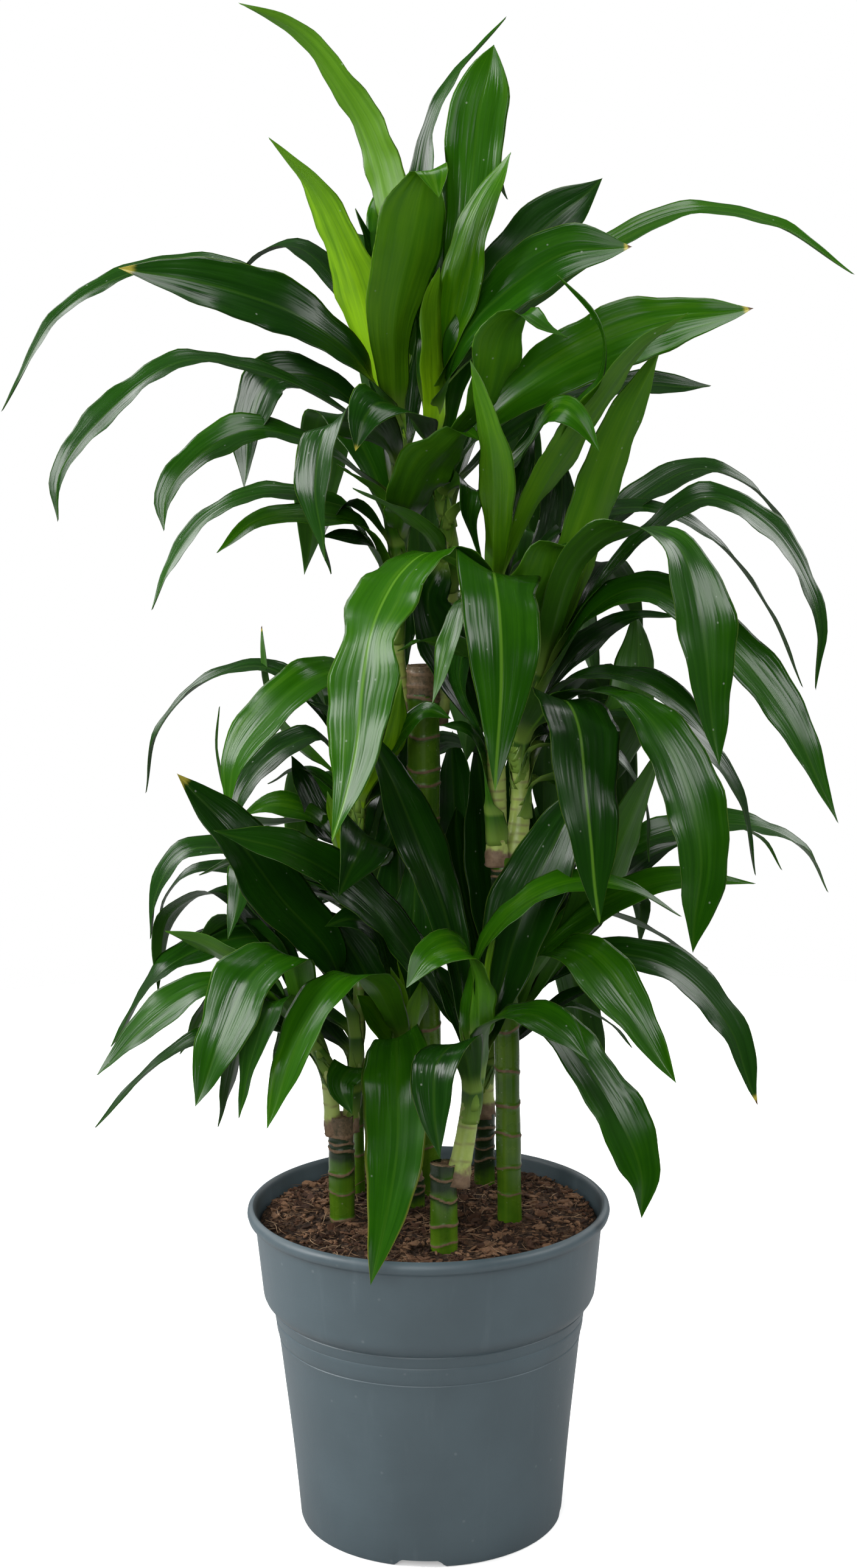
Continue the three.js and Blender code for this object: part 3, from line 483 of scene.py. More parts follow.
def bark_chips(count, long_low, long_high):
    """Split, curled flakes: each a bent nine-sided plate with worn corners, tipped at random."""
    points = []
    faces = []
    for x, y in soil_spots(count, long_high * 0.5):
        long = soil_draw.uniform(long_low, long_high)
        wide = long * soil_draw.uniform(0.28, 0.7)
        thick = soil_draw.uniform(0.5, 1.6) + long * 0.05
        turn = Matrix.Rotation(soil_draw.uniform(0, 2 * math.pi), 3, "Z")
        tip = Matrix.Rotation(soil_draw.normal(0, 0.38), 3, "X")
        tip = tip @ Matrix.Rotation(soil_draw.normal(0, 0.3), 3, "Y")
        curl = soil_draw.uniform(-0.25, 0.3)
        middle = Vector((x, y, soil_height(x, y) + thick * 0.4 + soil_draw.uniform(0, 1.2)))
        start = len(points)
        outline = []
        for angle in turns(CHIP_SIDES):
            reach = soil_draw.uniform(0.72, 1.08)
            outline.append((reach * math.cos(angle) * long / 2, reach * math.sin(angle) * wide / 2))
        for layer, shrink in CHIP_LAYERS:
            for px, py in outline:
                rise = layer * thick / 2 + curl * (px * px) / long + soil_draw.normal(0, 0.12)
                points.append(middle + turn @ tip @ Vector((px * shrink, py * shrink, rise)))
        top = len(points) - CHIP_SIDES
        for low in range(start, top, CHIP_SIDES):
            faces += band(low, low + CHIP_SIDES, CHIP_SIDES)
        faces.append(cap(start, CHIP_SIDES, down=True))
        faces.append(cap(top, CHIP_SIDES))
    return points, faces


FIBRE_STEPS = 7
FIBRE_SIDES = 4


def coir_fibres(count):
    """Thin bent threads, four-sided and drawn out to both ends."""
    points = []
    faces = []
    for x, y in soil_spots(count, 8):
        length = soil_draw.uniform(7, 24)
        heading = soil_draw.uniform(0, 2 * math.pi)
        turning = soil_draw.normal(0, 0.16)
        lift = max(0, soil_draw.normal(0.05, 0.22))
        spot = Vector((x, y, soil_height(x, y) + 0.9))
        start = len(points)
        for step in range(FIBRE_STEPS + 1):
            radius = 0.05 + 0.3 * math.sin(math.pi * step / FIBRE_STEPS)
            across = Vector((-math.sin(heading), math.cos(heading), 0)) * radius
            up = Vector((0, 0, radius))
            points.extend((spot + across, spot + up, spot - across, spot - up))
            heading += turning + soil_draw.normal(0, 0.12)
            stride = length / FIBRE_STEPS
            spot = spot + Vector((math.cos(heading) * stride, math.sin(heading) * stride, lift * stride))
            if math.hypot(spot.x, spot.y) < SOIL_RADIUS - 1:
                spot.z = max(spot.z, soil_height(spot.x, spot.y) + 0.5)
            else:
                spot.x *= (SOIL_RADIUS - 1) / math.hypot(spot.x, spot.y)
                spot.y *= (SOIL_RADIUS - 1) / math.hypot(spot.x, spot.y)
        end = len(points) - FIBRE_SIDES
        for low in range(start, end, FIBRE_SIDES):
            faces += band(low, low + FIBRE_SIDES, FIBRE_SIDES)
        faces.append(cap(start, FIBRE_SIDES, down=True))
        faces.append(cap(end, FIBRE_SIDES))
    return points, faces


def toned(tree, value, stops):
    """A colour ramp through the given (position, colour) stops."""
    ramp = wire(tree, "ShaderNodeValToRGB", {"Fac": value})
    elements = ramp.color_ramp.elements
    elements[0].position, elements[0].color = stops[0]
    elements[1].position, elements[1].color = stops[-1]
    for position, stop in stops[1:-1]:
        elements.new(position).color = stop
    return ramp.outputs[0]


def peat_material(name, dark, mid, pale, cell):
    """Brown matter that changes from lump to lump, fully dull."""
    material, tree, shader = new_material(name)
    place = wire(tree, "ShaderNodeTexCoord").outputs["Object"]
    lumps = wire(tree, "ShaderNodeTexVoronoi", {"Vector": place, "Scale": cell})
    draw = wire(tree, "ShaderNodeSeparateColor", {"Color": lumps.outputs["Color"]}).outputs["Red"]
    crumbs = noise(tree, place, 520, 5, 0.7)
    shade = sum_of(tree, (draw, 0.55), (crumbs, 0.5))
    colour = toned(tree, shade, ((0.18, dark), (0.52, mid), (0.92, pale)))
    tree.links.new(colour, shader.inputs["Base Color"])
    shader.inputs["Roughness"].default_value = 0.95
    shader.inputs["Specular IOR Level"].default_value = 0.25
    bumped(tree, shader, crumbs, 0.9, 0.0012)
    return material


peat = peat_material("peat", (0.009, 0.005, 0.003, 1), (0.034, 0.018, 0.010, 1), (0.125, 0.07, 0.038, 1), 240)
bark = peat_material("bark", (0.015, 0.007, 0.004, 1), (0.068, 0.031, 0.016, 1), (0.24, 0.135, 0.074, 1), 75)
coir = peat_material("coir", (0.055, 0.028, 0.015, 1), (0.17, 0.10, 0.055, 1), (0.42, 0.29, 0.18, 1), 60)

bed = mesh_object("soil_bed", *soil_bed(), [peat])
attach(bed, "root")
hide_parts("soil")

for name, made, finish in (
    ("bark_chips", bark_chips(240, 7, 15), bark),
    ("bark_flakes", bark_chips(1150, 3, 7), bark),
    ("soil_crumbs", bark_chips(1700, 1.6, 3.4), peat),
    ("coir_fibres", coir_fibres(520), coir),
):
    loose = mesh_object(name, *made, [finish], smooth=name != "bark_chips")
    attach(loose, "root")


# ------------------------------------------------------------------ canes
# Lengths of corn-plant trunk, sawn to stagger the heads and rooted in the soil. The bark is smooth
# and green, ringed by thin brown leaf scars, and the sawn end is sealed and has dried brown.

ROOT_DEPTH = 82            # how far a cane goes down into the soil
ROOT_PLAIN = 58            # the foot's length that stays hidden and needs few rings
CANE_SIDES = 44
SCAR_RISE = 0.75           # how far a leaf scar stands proud
SCAR_HALF = 1.0
CORKY_SCAR = 0.45          # how much of a scar's brown the dried bark under a sawn end takes
DRAWS = 40                 # a cane's draw number over this gives its bark a pattern of its own

# Fibres along a stem or blade: Broad bands and Fine lines, drawn long along the growth. Across and
# Along are rough distances in millimetres, and Draw gives each piece a pattern of its own.
fibres, fibres_in, fibres_out = new_effect(
    "fibres", [("Across", "float"), ("Along", "float"), ("Draw", "float")],
    [("Broad", "float"), ("Fine", "float")])
for label, across_scale, along_scale, detail in (("Broad", 0.14, 0.006, 2), ("Fine", 0.8, 0.01, 1)):
    across_part = maths(fibres, "MULTIPLY", fibres_in["Across"], across_scale)
    along_part = maths(fibres, "MULTIPLY", fibres_in["Along"], along_scale)
    draw_part = maths(fibres, "MULTIPLY", fibres_in["Draw"], 97.0)
    spot = wire(fibres, "ShaderNodeCombineXYZ", {0: across_part, 1: along_part, 2: draw_part})
    lines = noise(fibres, spot.outputs[0], 1.0, detail, 0.55)
    fibres.links.new(between(fibres, lines, 0.3, 0.7, -1, 1, smooth=False), fibres_out[label])


def painted(thing, name, values):
    """Stores four numbers at each point of a mesh, for its material to read."""
    layer = thing.data.color_attributes.new(name, "FLOAT_COLOR", "POINT")
    layer.data.foreach_set("color", np.array(values, np.float32).ravel())


def read_paint(tree, name):
    """The four numbers of painted()."""
    source = wire(tree, "ShaderNodeAttribute", attribute_name=name)
    parts = wire(tree, "ShaderNodeSeparateColor", {"Color": source.outputs["Color"]}).outputs
    return parts["Red"], parts["Green"], parts["Blue"], source.outputs["Alpha"]


BARK_FRESH = (0.028, 0.084, 0.003, 1)
BARK_PALE = (0.072, 0.145, 0.006, 1)
# the darker green that a cane's bark takes towards its top
BARK_DARKER = (0.009, 0.022, 0.006, 1)
BARK_DUST = (0.4, 0.38, 0.3, 1)
SCAR_BROWN = (0.22, 0.145, 0.08, 1)
SCAR_DARK = (0.05, 0.025, 0.014, 1)
SAWN_PALE = (0.30, 0.20, 0.115, 1)
SAWN_DARK = (0.085, 0.045, 0.025, 1)

cane_bark, tree, shader = new_material("cane_bark")
scar, darkness, sawn, draw = read_paint(tree, "growth")
around, height, _, _ = read_paint(tree, "girth")
place = wire(tree, "ShaderNodeTexCoord").outputs["Object"]
patches = effect_node(tree, mottle, {"Place": place, "Scale": 42})["Height"]
# girth's shares of a turn and metres of height are spread out to the fibres' own scale
bark_across = sum_of(tree, (around, 60.0))
bark_along = sum_of(tree, (height, 1000.0))
cane_lines = effect_node(tree, fibres, {"Across": bark_across, "Along": bark_along, "Draw": draw})
wood_grain = noise(tree, place, 420, 5, 0.65)
cane_specks = effect_node(tree, dust, {"Place": place, "Cells": 330, "Share": 0.05})["Mask"]
colour = tint(tree, between(tree, sum_of(tree, (patches, 0.5), (cane_lines["Broad"], 0.5)), -0.9, 0.9),
              BARK_FRESH, BARK_PALE)
# the bark darkens towards each cane's top and just below each scar
colour = tint(tree, between(tree, sum_of(tree, darkness, (patches, 0.22)), 0.3, 0.8), colour, BARK_DARKER)
brown = tint(tree, wood_grain, SCAR_DARK, SCAR_BROWN)
colour = tint(tree, between(tree, sum_of(tree, scar, (wood_grain, 0.3)), 0.42, 0.72), colour, brown)
cut_wood = tint(tree, between(tree, wood_grain, 0.35, 0.65), SAWN_DARK, SAWN_PALE)
colour = tint(tree, sawn, colour, cut_wood)
colour = tint(tree, sum_of(tree, (cane_specks, 0.3)), colour, BARK_DUST)
tree.links.new(colour, shader.inputs["Base Color"])
tree.links.new(sum_of(tree, 0.26, (scar, 0.45), (sawn, 0.55), (patches, 0.05)), shader.inputs["Roughness"])
shader.inputs["Specular IOR Level"].default_value = 0.3
relief = sum_of(tree, (cane_lines["Fine"], 0.12), (wood_grain, 0.2), (cane_lines["Broad"], 0.1))
bumped(tree, shader, relief, 0.35, 0.0008)


def cane(name, top, rings, darker_from, darker_to, draw, sawn_tilt=1.0, brown_above=1000):
    """One cane, from its foot in CANES to the middle of its sawn end at top.

    rings are the heights of its leaf scars. Its bark is darker towards the top, darkening from darker_from up
    to darker_to, and just below each scar; it is brown above brown_above. sawn_tilt is how far the saw cut
    leans.
    """
    rng = np.random.default_rng(draw)
    x, y, radius = CANES[name]
    low = Vector((x, y, SOIL_LEVEL - ROOT_DEPTH))
    high = Vector(top)
    lean = Vector((0, 0, 1)).rotation_difference((high - low).normalized())
    length = (high - low).length
    levels = list(np.arange(0, ROOT_PLAIN, 8)) + list(np.arange(ROOT_PLAIN, length, 1.3)) + [length]
    scars = [(z - low.z, rng.uniform(0.5, 2.6), rng.uniform(0, 2 * math.pi), rng.uniform(0, 2 * math.pi),
              rng.uniform(0.7, 1.25)) for z in rings]
    wander = [rng.uniform(0, 2 * math.pi) for _ in range(3)]
    points, growth, girth, faces = [], [], [], []
    for level in levels:
        for k, angle in enumerate(turns(CANE_SIDES)):
            mark = 0
            gap_to_scar = 40
            for z, tilt, turn, phase, bold in scars:
                line = z + tilt * math.cos(angle - turn) + 0.7 * math.sin(3 * angle + phase)
                mark = max(mark, bold * math.exp(-((level - line) / SCAR_HALF) ** 2))
                if 0 < line - level < gap_to_scar:
                    gap_to_scar = line - level
            oval = math.sin(2 * angle + wander[0])
            wide = radius - 0.15 + 0.2 * oval + 0.25 * math.sin(0.09 * level + wander[1]) + SCAR_RISE * mark
            point = low + lean @ Vector((wide * math.cos(angle), wide * math.sin(angle), level))
            points.append(point)
            corky = CORKY_SCAR * (point.z > brown_above + 2.5 * oval)
            # darker towards the top from darker_from to darker_to, darker just below each scar, darkest on
            # the dried bark under the sawn end
            darkness_here = (point.z - darker_from) / (darker_to - darker_from) - 0.12
            darkness_here += 0.5 * math.exp(-gap_to_scar / 7) + 2 * corky
            growth.append((min(max(mark, corky), 1), min(max(darkness_here, 0), 1), 0, draw / DRAWS))
            girth.append((min(k, CANE_SIDES - k) / CANE_SIDES, level * MM, 0, 1))
    for ring in range(len(levels) - 1):
        faces += band(ring * CANE_SIDES, (ring + 1) * CANE_SIDES, CANE_SIDES)
    faces.append(cap(0, CANE_SIDES, down=True))
    # the sawn end: a worn edge, then growth rings round a hollowed pith
    last = (len(levels) - 1) * CANE_SIDES
    for share, sink in ((0.96, -0.5), (0.88, -0.1), (0.66, 0.25), (0.42, 0.5), (0.2, 1.1)):
        start = len(points)
        for angle in turns(CANE_SIDES):
            rise = rng.normal(0, 0.16) - sink - sawn_tilt * (1 - math.cos(angle - wander[2])) * share
            x = radius * share * math.cos(angle)
            y = radius * share * math.sin(angle)
            points.append(low + lean @ Vector((x, y, length + rise)))
            growth.append((0, 1, 1, draw / DRAWS))
            girth.append((0, length * MM, 0, 1))
        faces += band(last, start, CANE_SIDES)
        last = start
    faces.append(cap(last, CANE_SIDES))
    thing = mesh_object(name + "_bark", points, faces, [cane_bark])
    painted(thing, "growth", growth)
    painted(thing, "girth", girth)
    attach(thing, "root")
    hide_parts(name)


cane("cane_left", (-64, -14, 314), (236, 256, 272, 288, 293, 299), 252, 300, 3, brown_above=297)
cane("cane_thin", (-53, 48, 330), (262, 288, 312), 300, 420, 5)
cane("cane_front", (11, -77, 297), (238, 252, 272, 287), 250, 300, 7, sawn_tilt=1.8)
cane("cane_right", (57, -10, 506), (255, 275, 299, 323, 348, 380, 420, 462, 492, 499), 300, 620, 11)
cane("cane_back", (44, 70, 290), (252, 262, 270, 279), 214, 262, 13)
cane("cane_tall", (0, 42, 640), (275, 320, 365, 410, 452, 490, 524, 551, 564, 589, 616, 626, 634),
     540, 760, 17, brown_above=617)
cane("cane_stub", (-12, 12, 256), (246, 251), 215, 262, 19)


# ------------------------------------------------------------------ shoots
# The green stems that break out below a sawn end. Each starts in a brown, wrinkled callus and is
# then wrapped in the sheaths of its leaves, whose edges leave fine rings.

SHOOT_SIDES = 28
SHOOT_STEP = 1.6
CALLUS = 13                # how far the callus reaches up a shoot
CROWN_FROM = 0.93          # where a shoot starts to close, as a share of its length

SHOOT_PALE = (0.30, 0.38, 0.085, 1)
SHOOT_GREEN = (0.085, 0.165, 0.022, 1)

shoot_skin, tree, shader = new_material("shoot_skin")
ring_line, callus, crown, draw = read_paint(tree, "growth")
place = wire(tree, "ShaderNodeTexCoord").outputs["Object"]
patches = effect_node(tree, mottle, {"Place": place, "Scale": 60})["Height"]
wood_grain = noise(tree, place, 380, 5, 0.65)
colour = tint(tree, between(tree, sum_of(tree, crown, (patches, 0.25)), 0.0, 1.0), SHOOT_PALE, SHOOT_GREEN)
brown = tint(tree, wood_grain, SCAR_DARK, SCAR_BROWN)
colour = tint(tree, sum_of(tree, (ring_line, 0.65)), colour, brown)
colour = tint(tree, between(tree, sum_of(tree, callus, (patches, 0.3)), 0.25, 0.6), colour, brown)
tree.links.new(colour, shader.inputs["Base Color"])
tree.links.new(sum_of(tree, 0.34, (callus, 0.5), (ring_line, 0.3)), shader.inputs["Roughness"])
bumped(tree, shader, wood_grain, 0.3, 0.0008)


def read_off(at, run, values):
    """Points or directions at given distances along a line."""
    return np.stack([np.interp(at, run, values[:, k]) for k in range(3)], 1)


def curve_through(points, step):
    """Even points along the smooth (centripetal Catmull-Rom) curve through the given ones, and its length."""
    knots = np.array(points, float)
    knots = np.vstack([2 * knots[0] - knots[1], knots, 2 * knots[-1] - knots[-2]])
    pieces = []
    for i in range(1, len(knots) - 2):
        a, b, c, d = knots[i - 1:i + 3]
        ab, bc, cd = (max(float(np.linalg.norm(leg)) ** 0.5, 1e-6) for leg in (b - a, c - b, d - c))
        leave = ((b - a) / ab - (c - a) / (ab + bc) + (c - b) / bc) * bc
        arrive = ((c - b) / bc - (d - b) / (bc + cd) + (d - c) / cd) * bc
        t = np.linspace(0, 1, 40, endpoint=False)[:, None]
        pieces.append(b + leave * t + (3 * c - 3 * b - 2 * leave - arrive) * t ** 2
                      + (2 * b - 2 * c + leave + arrive) * t ** 3)
    line = np.vstack(pieces + [knots[-2:-1]])
    run = np.concatenate([[0], np.cumsum(np.linalg.norm(np.diff(line, axis=0), axis=1))])
    at = np.linspace(0, run[-1], max(3, round(run[-1] / step) + 1))
    return read_off(at, run, line), run[-1]


def directions(line):
    """Unit tangents along a line of points."""
    along = np.gradient(line, axis=0)
    return along / np.linalg.norm(along, axis=1)[:, None]


def green_shoots(head, shoots):
    """The stems of one head, from (axis points, (foot radius, crown radius)) pairs."""
    points, growth, faces = [], [], []
    for number, (axis, radii) in enumerate(shoots):
        rng = np.random.default_rng(len(head) * 7 + number)
        line, length = curve_through(axis, SHOOT_STEP)
        along = directions(line)
        start = len(points)
        joints = np.cumsum(rng.uniform(6, 13, 60)) + 12
        for i, centre in enumerate(line):
            u = i / (len(line) - 1)
            side = np.array([1, 0, 0]) - along[i] * along[i][0]
            side /= np.linalg.norm(side)
            front = np.cross(along[i], side)
            woody = math.exp(-(u * length / CALLUS) ** 2)
            radius = radii[0] + (radii[1] - radii[0]) * u
            radius *= 1 + 0.22 * woody - 0.75 * max(0, (u - CROWN_FROM) / (1 - CROWN_FROM)) ** 2
            for angle in turns(SHOOT_SIDES):
                off = u * length - joints - 1.2 * np.cos(angle - joints)
                line_mark = math.exp(-(float(np.abs(off).min()) / 0.7) ** 2)
                lump = woody * (0.5 * math.sin(5 * angle + 1.1 * i) + 0.45 * math.sin(2 * angle - 0.7 * i))
                wide = radius + 0.3 * line_mark + lump
                points.append(centre + side * wide * math.cos(angle) + front * wide * math.sin(angle))
                growth.append((line_mark, woody, u, number * 0.3))
        end = len(points) - SHOOT_SIDES
        for low in range(start, end, SHOOT_SIDES):
            faces += band(low, low + SHOOT_SIDES, SHOOT_SIDES)
        faces.append(cap(start, SHOOT_SIDES, down=True))
        faces.append(cap(end, SHOOT_SIDES))
    thing = mesh_object(head + "_shoots", points, faces, [shoot_skin])
    painted(thing, "growth", growth)
    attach(thing, "root")
    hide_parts(head)


# ------------------------------------------------------------------ leaves
# Long strap leaves. Each clasps the stem in a sheath, opens into a blade with a channel down the
# midrib and gently waved edges, and arches over to a drawn-out tip. The skin is waxy and ribbed.

EDGE_WAVE = 0.07           # rise and fall of the edges over the half width
WAVE_COUNT = 1.6
RUFFLE = 0.065             # smaller waves along each edge, over the half width
CRINKLED = 0.16            # the same on a crinkled leaf
SCALLOP = 0.045            # how far the outline itself goes in and out, over the half width
CHANNEL = 0.13             # depth of the midrib's channel over the half width
CHANNEL_FLAT = 0.25        # share of that depth that a flat leaf keeps
SHEATH = 24                # length of the clasping base below the blade
SHEATH_RINGS = 6
BLADE_STEP = 6
BLADE_END = 0.994          # the last ring before the tip's point
BLADE_THICK = 0.32         # thickness at the tip, and what the base has more
BASE_THICKER = 0.25
RIB_DEPTH = 0.7            # how far the midrib stands out below
WAIST = 0.2                # how far a blade draws in where it folds over, and over what share of it
WAIST_REACH = 0.07
NECK = 0.34                # the same where the front leaf is pinched as it hangs
NECK_REACH = 0.05
NECK_AT = 0.585
GOLD_EDGE = 0.4            # how yellow a yellow edge is
TONES = {"dark": 0.16, "grey": 0.22, "mid": 0.38, "bright": 0.5, "olive": 0.64, "light": 0.8, "lime": 1.0}
ACROSS = (-1, -0.9, -0.64, -0.34, -0.08, 0, 0.08, 0.34, 0.64, 0.9, 1)
UNDER = ACROSS[-2:0:-1]
RING = len(ACROSS) + len(UNDER)
HALF_WIDTH_UNIT = 50       # a half width is painted as a share of this

LEAF_TOP = ((0.0, (0.004, 0.021, 0.003, 1)), (0.36, (0.011, 0.066, 0.001, 1)),
            (0.52, (0.022, 0.105, 0.001, 1)), (0.64, (0.050, 0.155, 0.001, 1)),
            (0.8, (0.082, 0.215, 0.003, 1)), (1.0, (0.235, 0.44, 0.003, 1)))
LEAF_UNDER = ((0.0, (0.014, 0.052, 0.008, 1)), (0.36, (0.026, 0.100, 0.004, 1)),
              (0.52, (0.038, 0.135, 0.003, 1)), (0.64, (0.062, 0.175, 0.002, 1)),
              (0.8, (0.095, 0.235, 0.004, 1)), (1.0, (0.24, 0.46, 0.004, 1)))
LIGHT_THROUGH = ((0.0, (0.006, 0.03, 0.001, 1)), (0.36, (0.03, 0.12, 0.001, 1)),
                 (0.64, (0.10, 0.30, 0.002, 1)), (1.0, (0.34, 0.64, 0.004, 1)))
MIDRIB_PALE = (0.11, 0.26, 0.02, 1)
MARGIN_PALE = (0.20, 0.34, 0.05, 1)
SHEATH_PALE = (0.17, 0.29, 0.04, 1)
TIP_YELLOW = (0.42, 0.36, 0.05, 1)
TIP_BROWN = (0.10, 0.05, 0.025, 1)
LEAF_DUST = (0.45, 0.5, 0.42, 1)

leaf_skin, tree, shader = new_material("leaf_skin")
shader.inputs["Specular IOR Level"].default_value = 0.24
across, along, tone, draw = read_paint(tree, "blade")
half_width, under, dry, sheath = read_paint(tree, "state")
ribbed, edge_gold, _, _ = read_paint(tree, "marks")
place = wire(tree, "ShaderNodeTexCoord").outputs["Object"]
side = sum_of(tree, (across, 2.0), -1.0)
edge = maths(tree, "ABSOLUTE", side)
off_midrib = sum_of(tree, (maths(tree, "MULTIPLY", side, half_width), HALF_WIDTH_UNIT))
from_midrib = maths(tree, "ABSOLUTE", off_midrib)
vein_across = sum_of(tree, (side, 24.0))
vein_along = sum_of(tree, (along, 400.0))
veins = effect_node(tree, fibres, {"Across": vein_across, "Along": vein_along, "Draw": draw})
patches = effect_node(tree, mottle, {"Place": place, "Scale": 16})["Height"]
leaf_specks = effect_node(tree, dust, {"Place": place, "Cells": 260, "Share": 0.02})["Mask"]
# the youngest leaves are pale at the base and deepen towards the tip
young = between(tree, tone, 0.55, 1.0, 0.0, -0.26, smooth=False)
deepening = maths(tree, "MULTIPLY", young, along)
shade = sum_of(tree, tone, deepening, (veins["Broad"], 0.075), (veins["Fine"], 0.03), (patches, 0.05))
colour = tint(tree, under, toned(tree, shade, LEAF_TOP), toned(tree, shade, LEAF_UNDER))
rib = maths(tree, "MULTIPLY", between(tree, from_midrib, 1.7, 0.4), sum_of(tree, (ribbed, 0.62), 0.1))
colour = tint(tree, rib, colour, MIDRIB_PALE)
colour = tint(tree, between(tree, sheath, 0.0, 1.0), colour, SHEATH_PALE)
margin = between(tree, edge, 0.968, 0.992)
colour = tint(tree, sum_of(tree, (margin, 0.45)), colour, MARGIN_PALE)
gold = maths(tree, "MULTIPLY", between(tree, edge, 0.88, 0.99), edge_gold)
colour = tint(tree, gold, colour, TIP_YELLOW)
dryness = sum_of(tree, dry, (patches, 0.08), (veins["Broad"], 0.08))
colour = tint(tree, between(tree, dryness, 0.3, 0.6), colour, TIP_YELLOW)
colour = tint(tree, between(tree, dryness, 0.66, 0.82), colour, TIP_BROWN)
colour = tint(tree, sum_of(tree, (leaf_specks, 0.4)), colour, LEAF_DUST)
tree.links.new(colour, shader.inputs["Base Color"])
waxy = sum_of(tree, 0.24, (under, 0.16), (veins["Broad"], 0.05), (sheath, 0.12))
tree.links.new(waxy, shader.inputs["Roughness"])
relief = sum_of(tree, (veins["Broad"], 0.6), (veins["Fine"], 0.05))
ribs_show = between(tree, half_width, 0.04, 0.4, 0.0, 0.42, smooth=False)
normal = bumped(tree, shader, relief, ribs_show, 0.0007)
light_through = toned(tree, shade, LIGHT_THROUGH)
glow = wire(tree, "ShaderNodeBsdfTranslucent", {"Color": light_through, "Normal": normal})
leaf_body = wire(tree, "ShaderNodeMixShader", {0: 0.3, 1: shader.outputs[0], 2: glow.outputs[0]})
tree.links.new(leaf_body.outputs[0], tree.nodes["Material Output"].inputs["Surface"])


def ease(low, high, x):
    """0 up to low, 1 from high on, and a smooth step between."""
    t = np.clip((x - low) / (high - low), 0, 1)
    return t * t * (3 - 2 * t)


def blade_outline(u, fullest):
    """Half width over its greatest: narrow at the stem, fullest past the middle, then a long point."""
    start = fullest - 0.05
    taper = np.clip((u - start) / (1 - start), 0, 1)
    belly = 0.4 + 0.6 * ease(0.05, fullest, u)
    clasp = 0.35 + 0.65 * ease(0, 0.08, u)
    return belly * clasp * (1 - taper ** 2.6) ** 1.15


def nearest_stem(foot, shoots):
    """The shoot's axis point closest to a leaf's foot, with its tangent and radius there."""
    best = None
    for axis, radii in shoots:
        line, _ = curve_through(axis, 2)
        off = np.linalg.norm(line - foot, axis=1)
        i = int(off.argmin())
        if best is None or off[i] < best[0]:
            u = i / (len(line) - 1)
            best = (off[i], line[i], directions(line)[i], radii[0] + (radii[1] - radii[0]) * u)
    return best[1:]


def leaf_path(midrib, shoots):
    """A leaf's rings from the foot of its sheath to its tip.

    Gives each ring's share of the blade, which is below 0 on the sheath, its middle and its tangent,
    then the sheath's radius, the heading in which the leaf sets out, and the blade's length.
    """
    knots = [np.array(point, float) for point in midrib]
    centre, stem_along, stem_radius = nearest_stem(knots[0], shoots)
    first = knots[1] - knots[0]
    heading = math.atan2(first[1], first[0])
    away = np.array([math.cos(heading), math.sin(heading), 0])
    away -= stem_along * away.dot(stem_along)
    away /= np.linalg.norm(away)
    clasp = stem_radius * 1.15 + 0.8
    sheath_foot = centre - stem_along * SHEATH + away * (stem_radius + 0.4)
    blade_foot = centre + away * clasp
    line, length = curve_through([sheath_foot, blade_foot] + knots[1:], 1.0)
    run = np.linspace(0, length, len(line))
    blade_length = length - SHEATH
    rings = int(np.clip(round(blade_length / BLADE_STEP), 24, 56))
    shares = np.concatenate([np.linspace(-1, -0.12, SHEATH_RINGS), np.linspace(0, BLADE_END, rings)])
    at = np.where(shares < 0, SHEATH * (1 + shares), SHEATH + np.maximum(shares, 0) * blade_length)
    tangents = read_off(at, run, directions(line))
    tangents /= np.linalg.norm(tangents, axis=1)[:, None]
    return shares, read_off(at, run, line), tangents, clasp, heading, blade_length


def leaf_faces(start, count):
    """The skin over a leaf's rings, its point and its open foot."""
    faces = []
    for base in range(start, start + (count - 1) * RING, RING):
        for k in range(RING):
            after = (k + 1) % RING
            face = (base + after, base + k, base + RING + k, base + RING + after)
            # both skins split along the same diagonal, so that a twisted blade never cuts through itself
            faces.append(face if k < len(ACROSS) - 1 else face[1:] + face[:1])
    last = start + (count - 1) * RING
    faces += [(last + (k + 1) % RING, last + k, last + RING) for k in range(RING)]
    faces.append((start, start + 1, start + RING - 1))
    wide = len(ACROSS)
    for k in range(1, wide - 2):
        faces.append((start + k, start + k + 1, start + RING - k - 1, start + RING - k))
    faces.append((start + wide - 2, start + wide - 1, start + wide))
    return faces


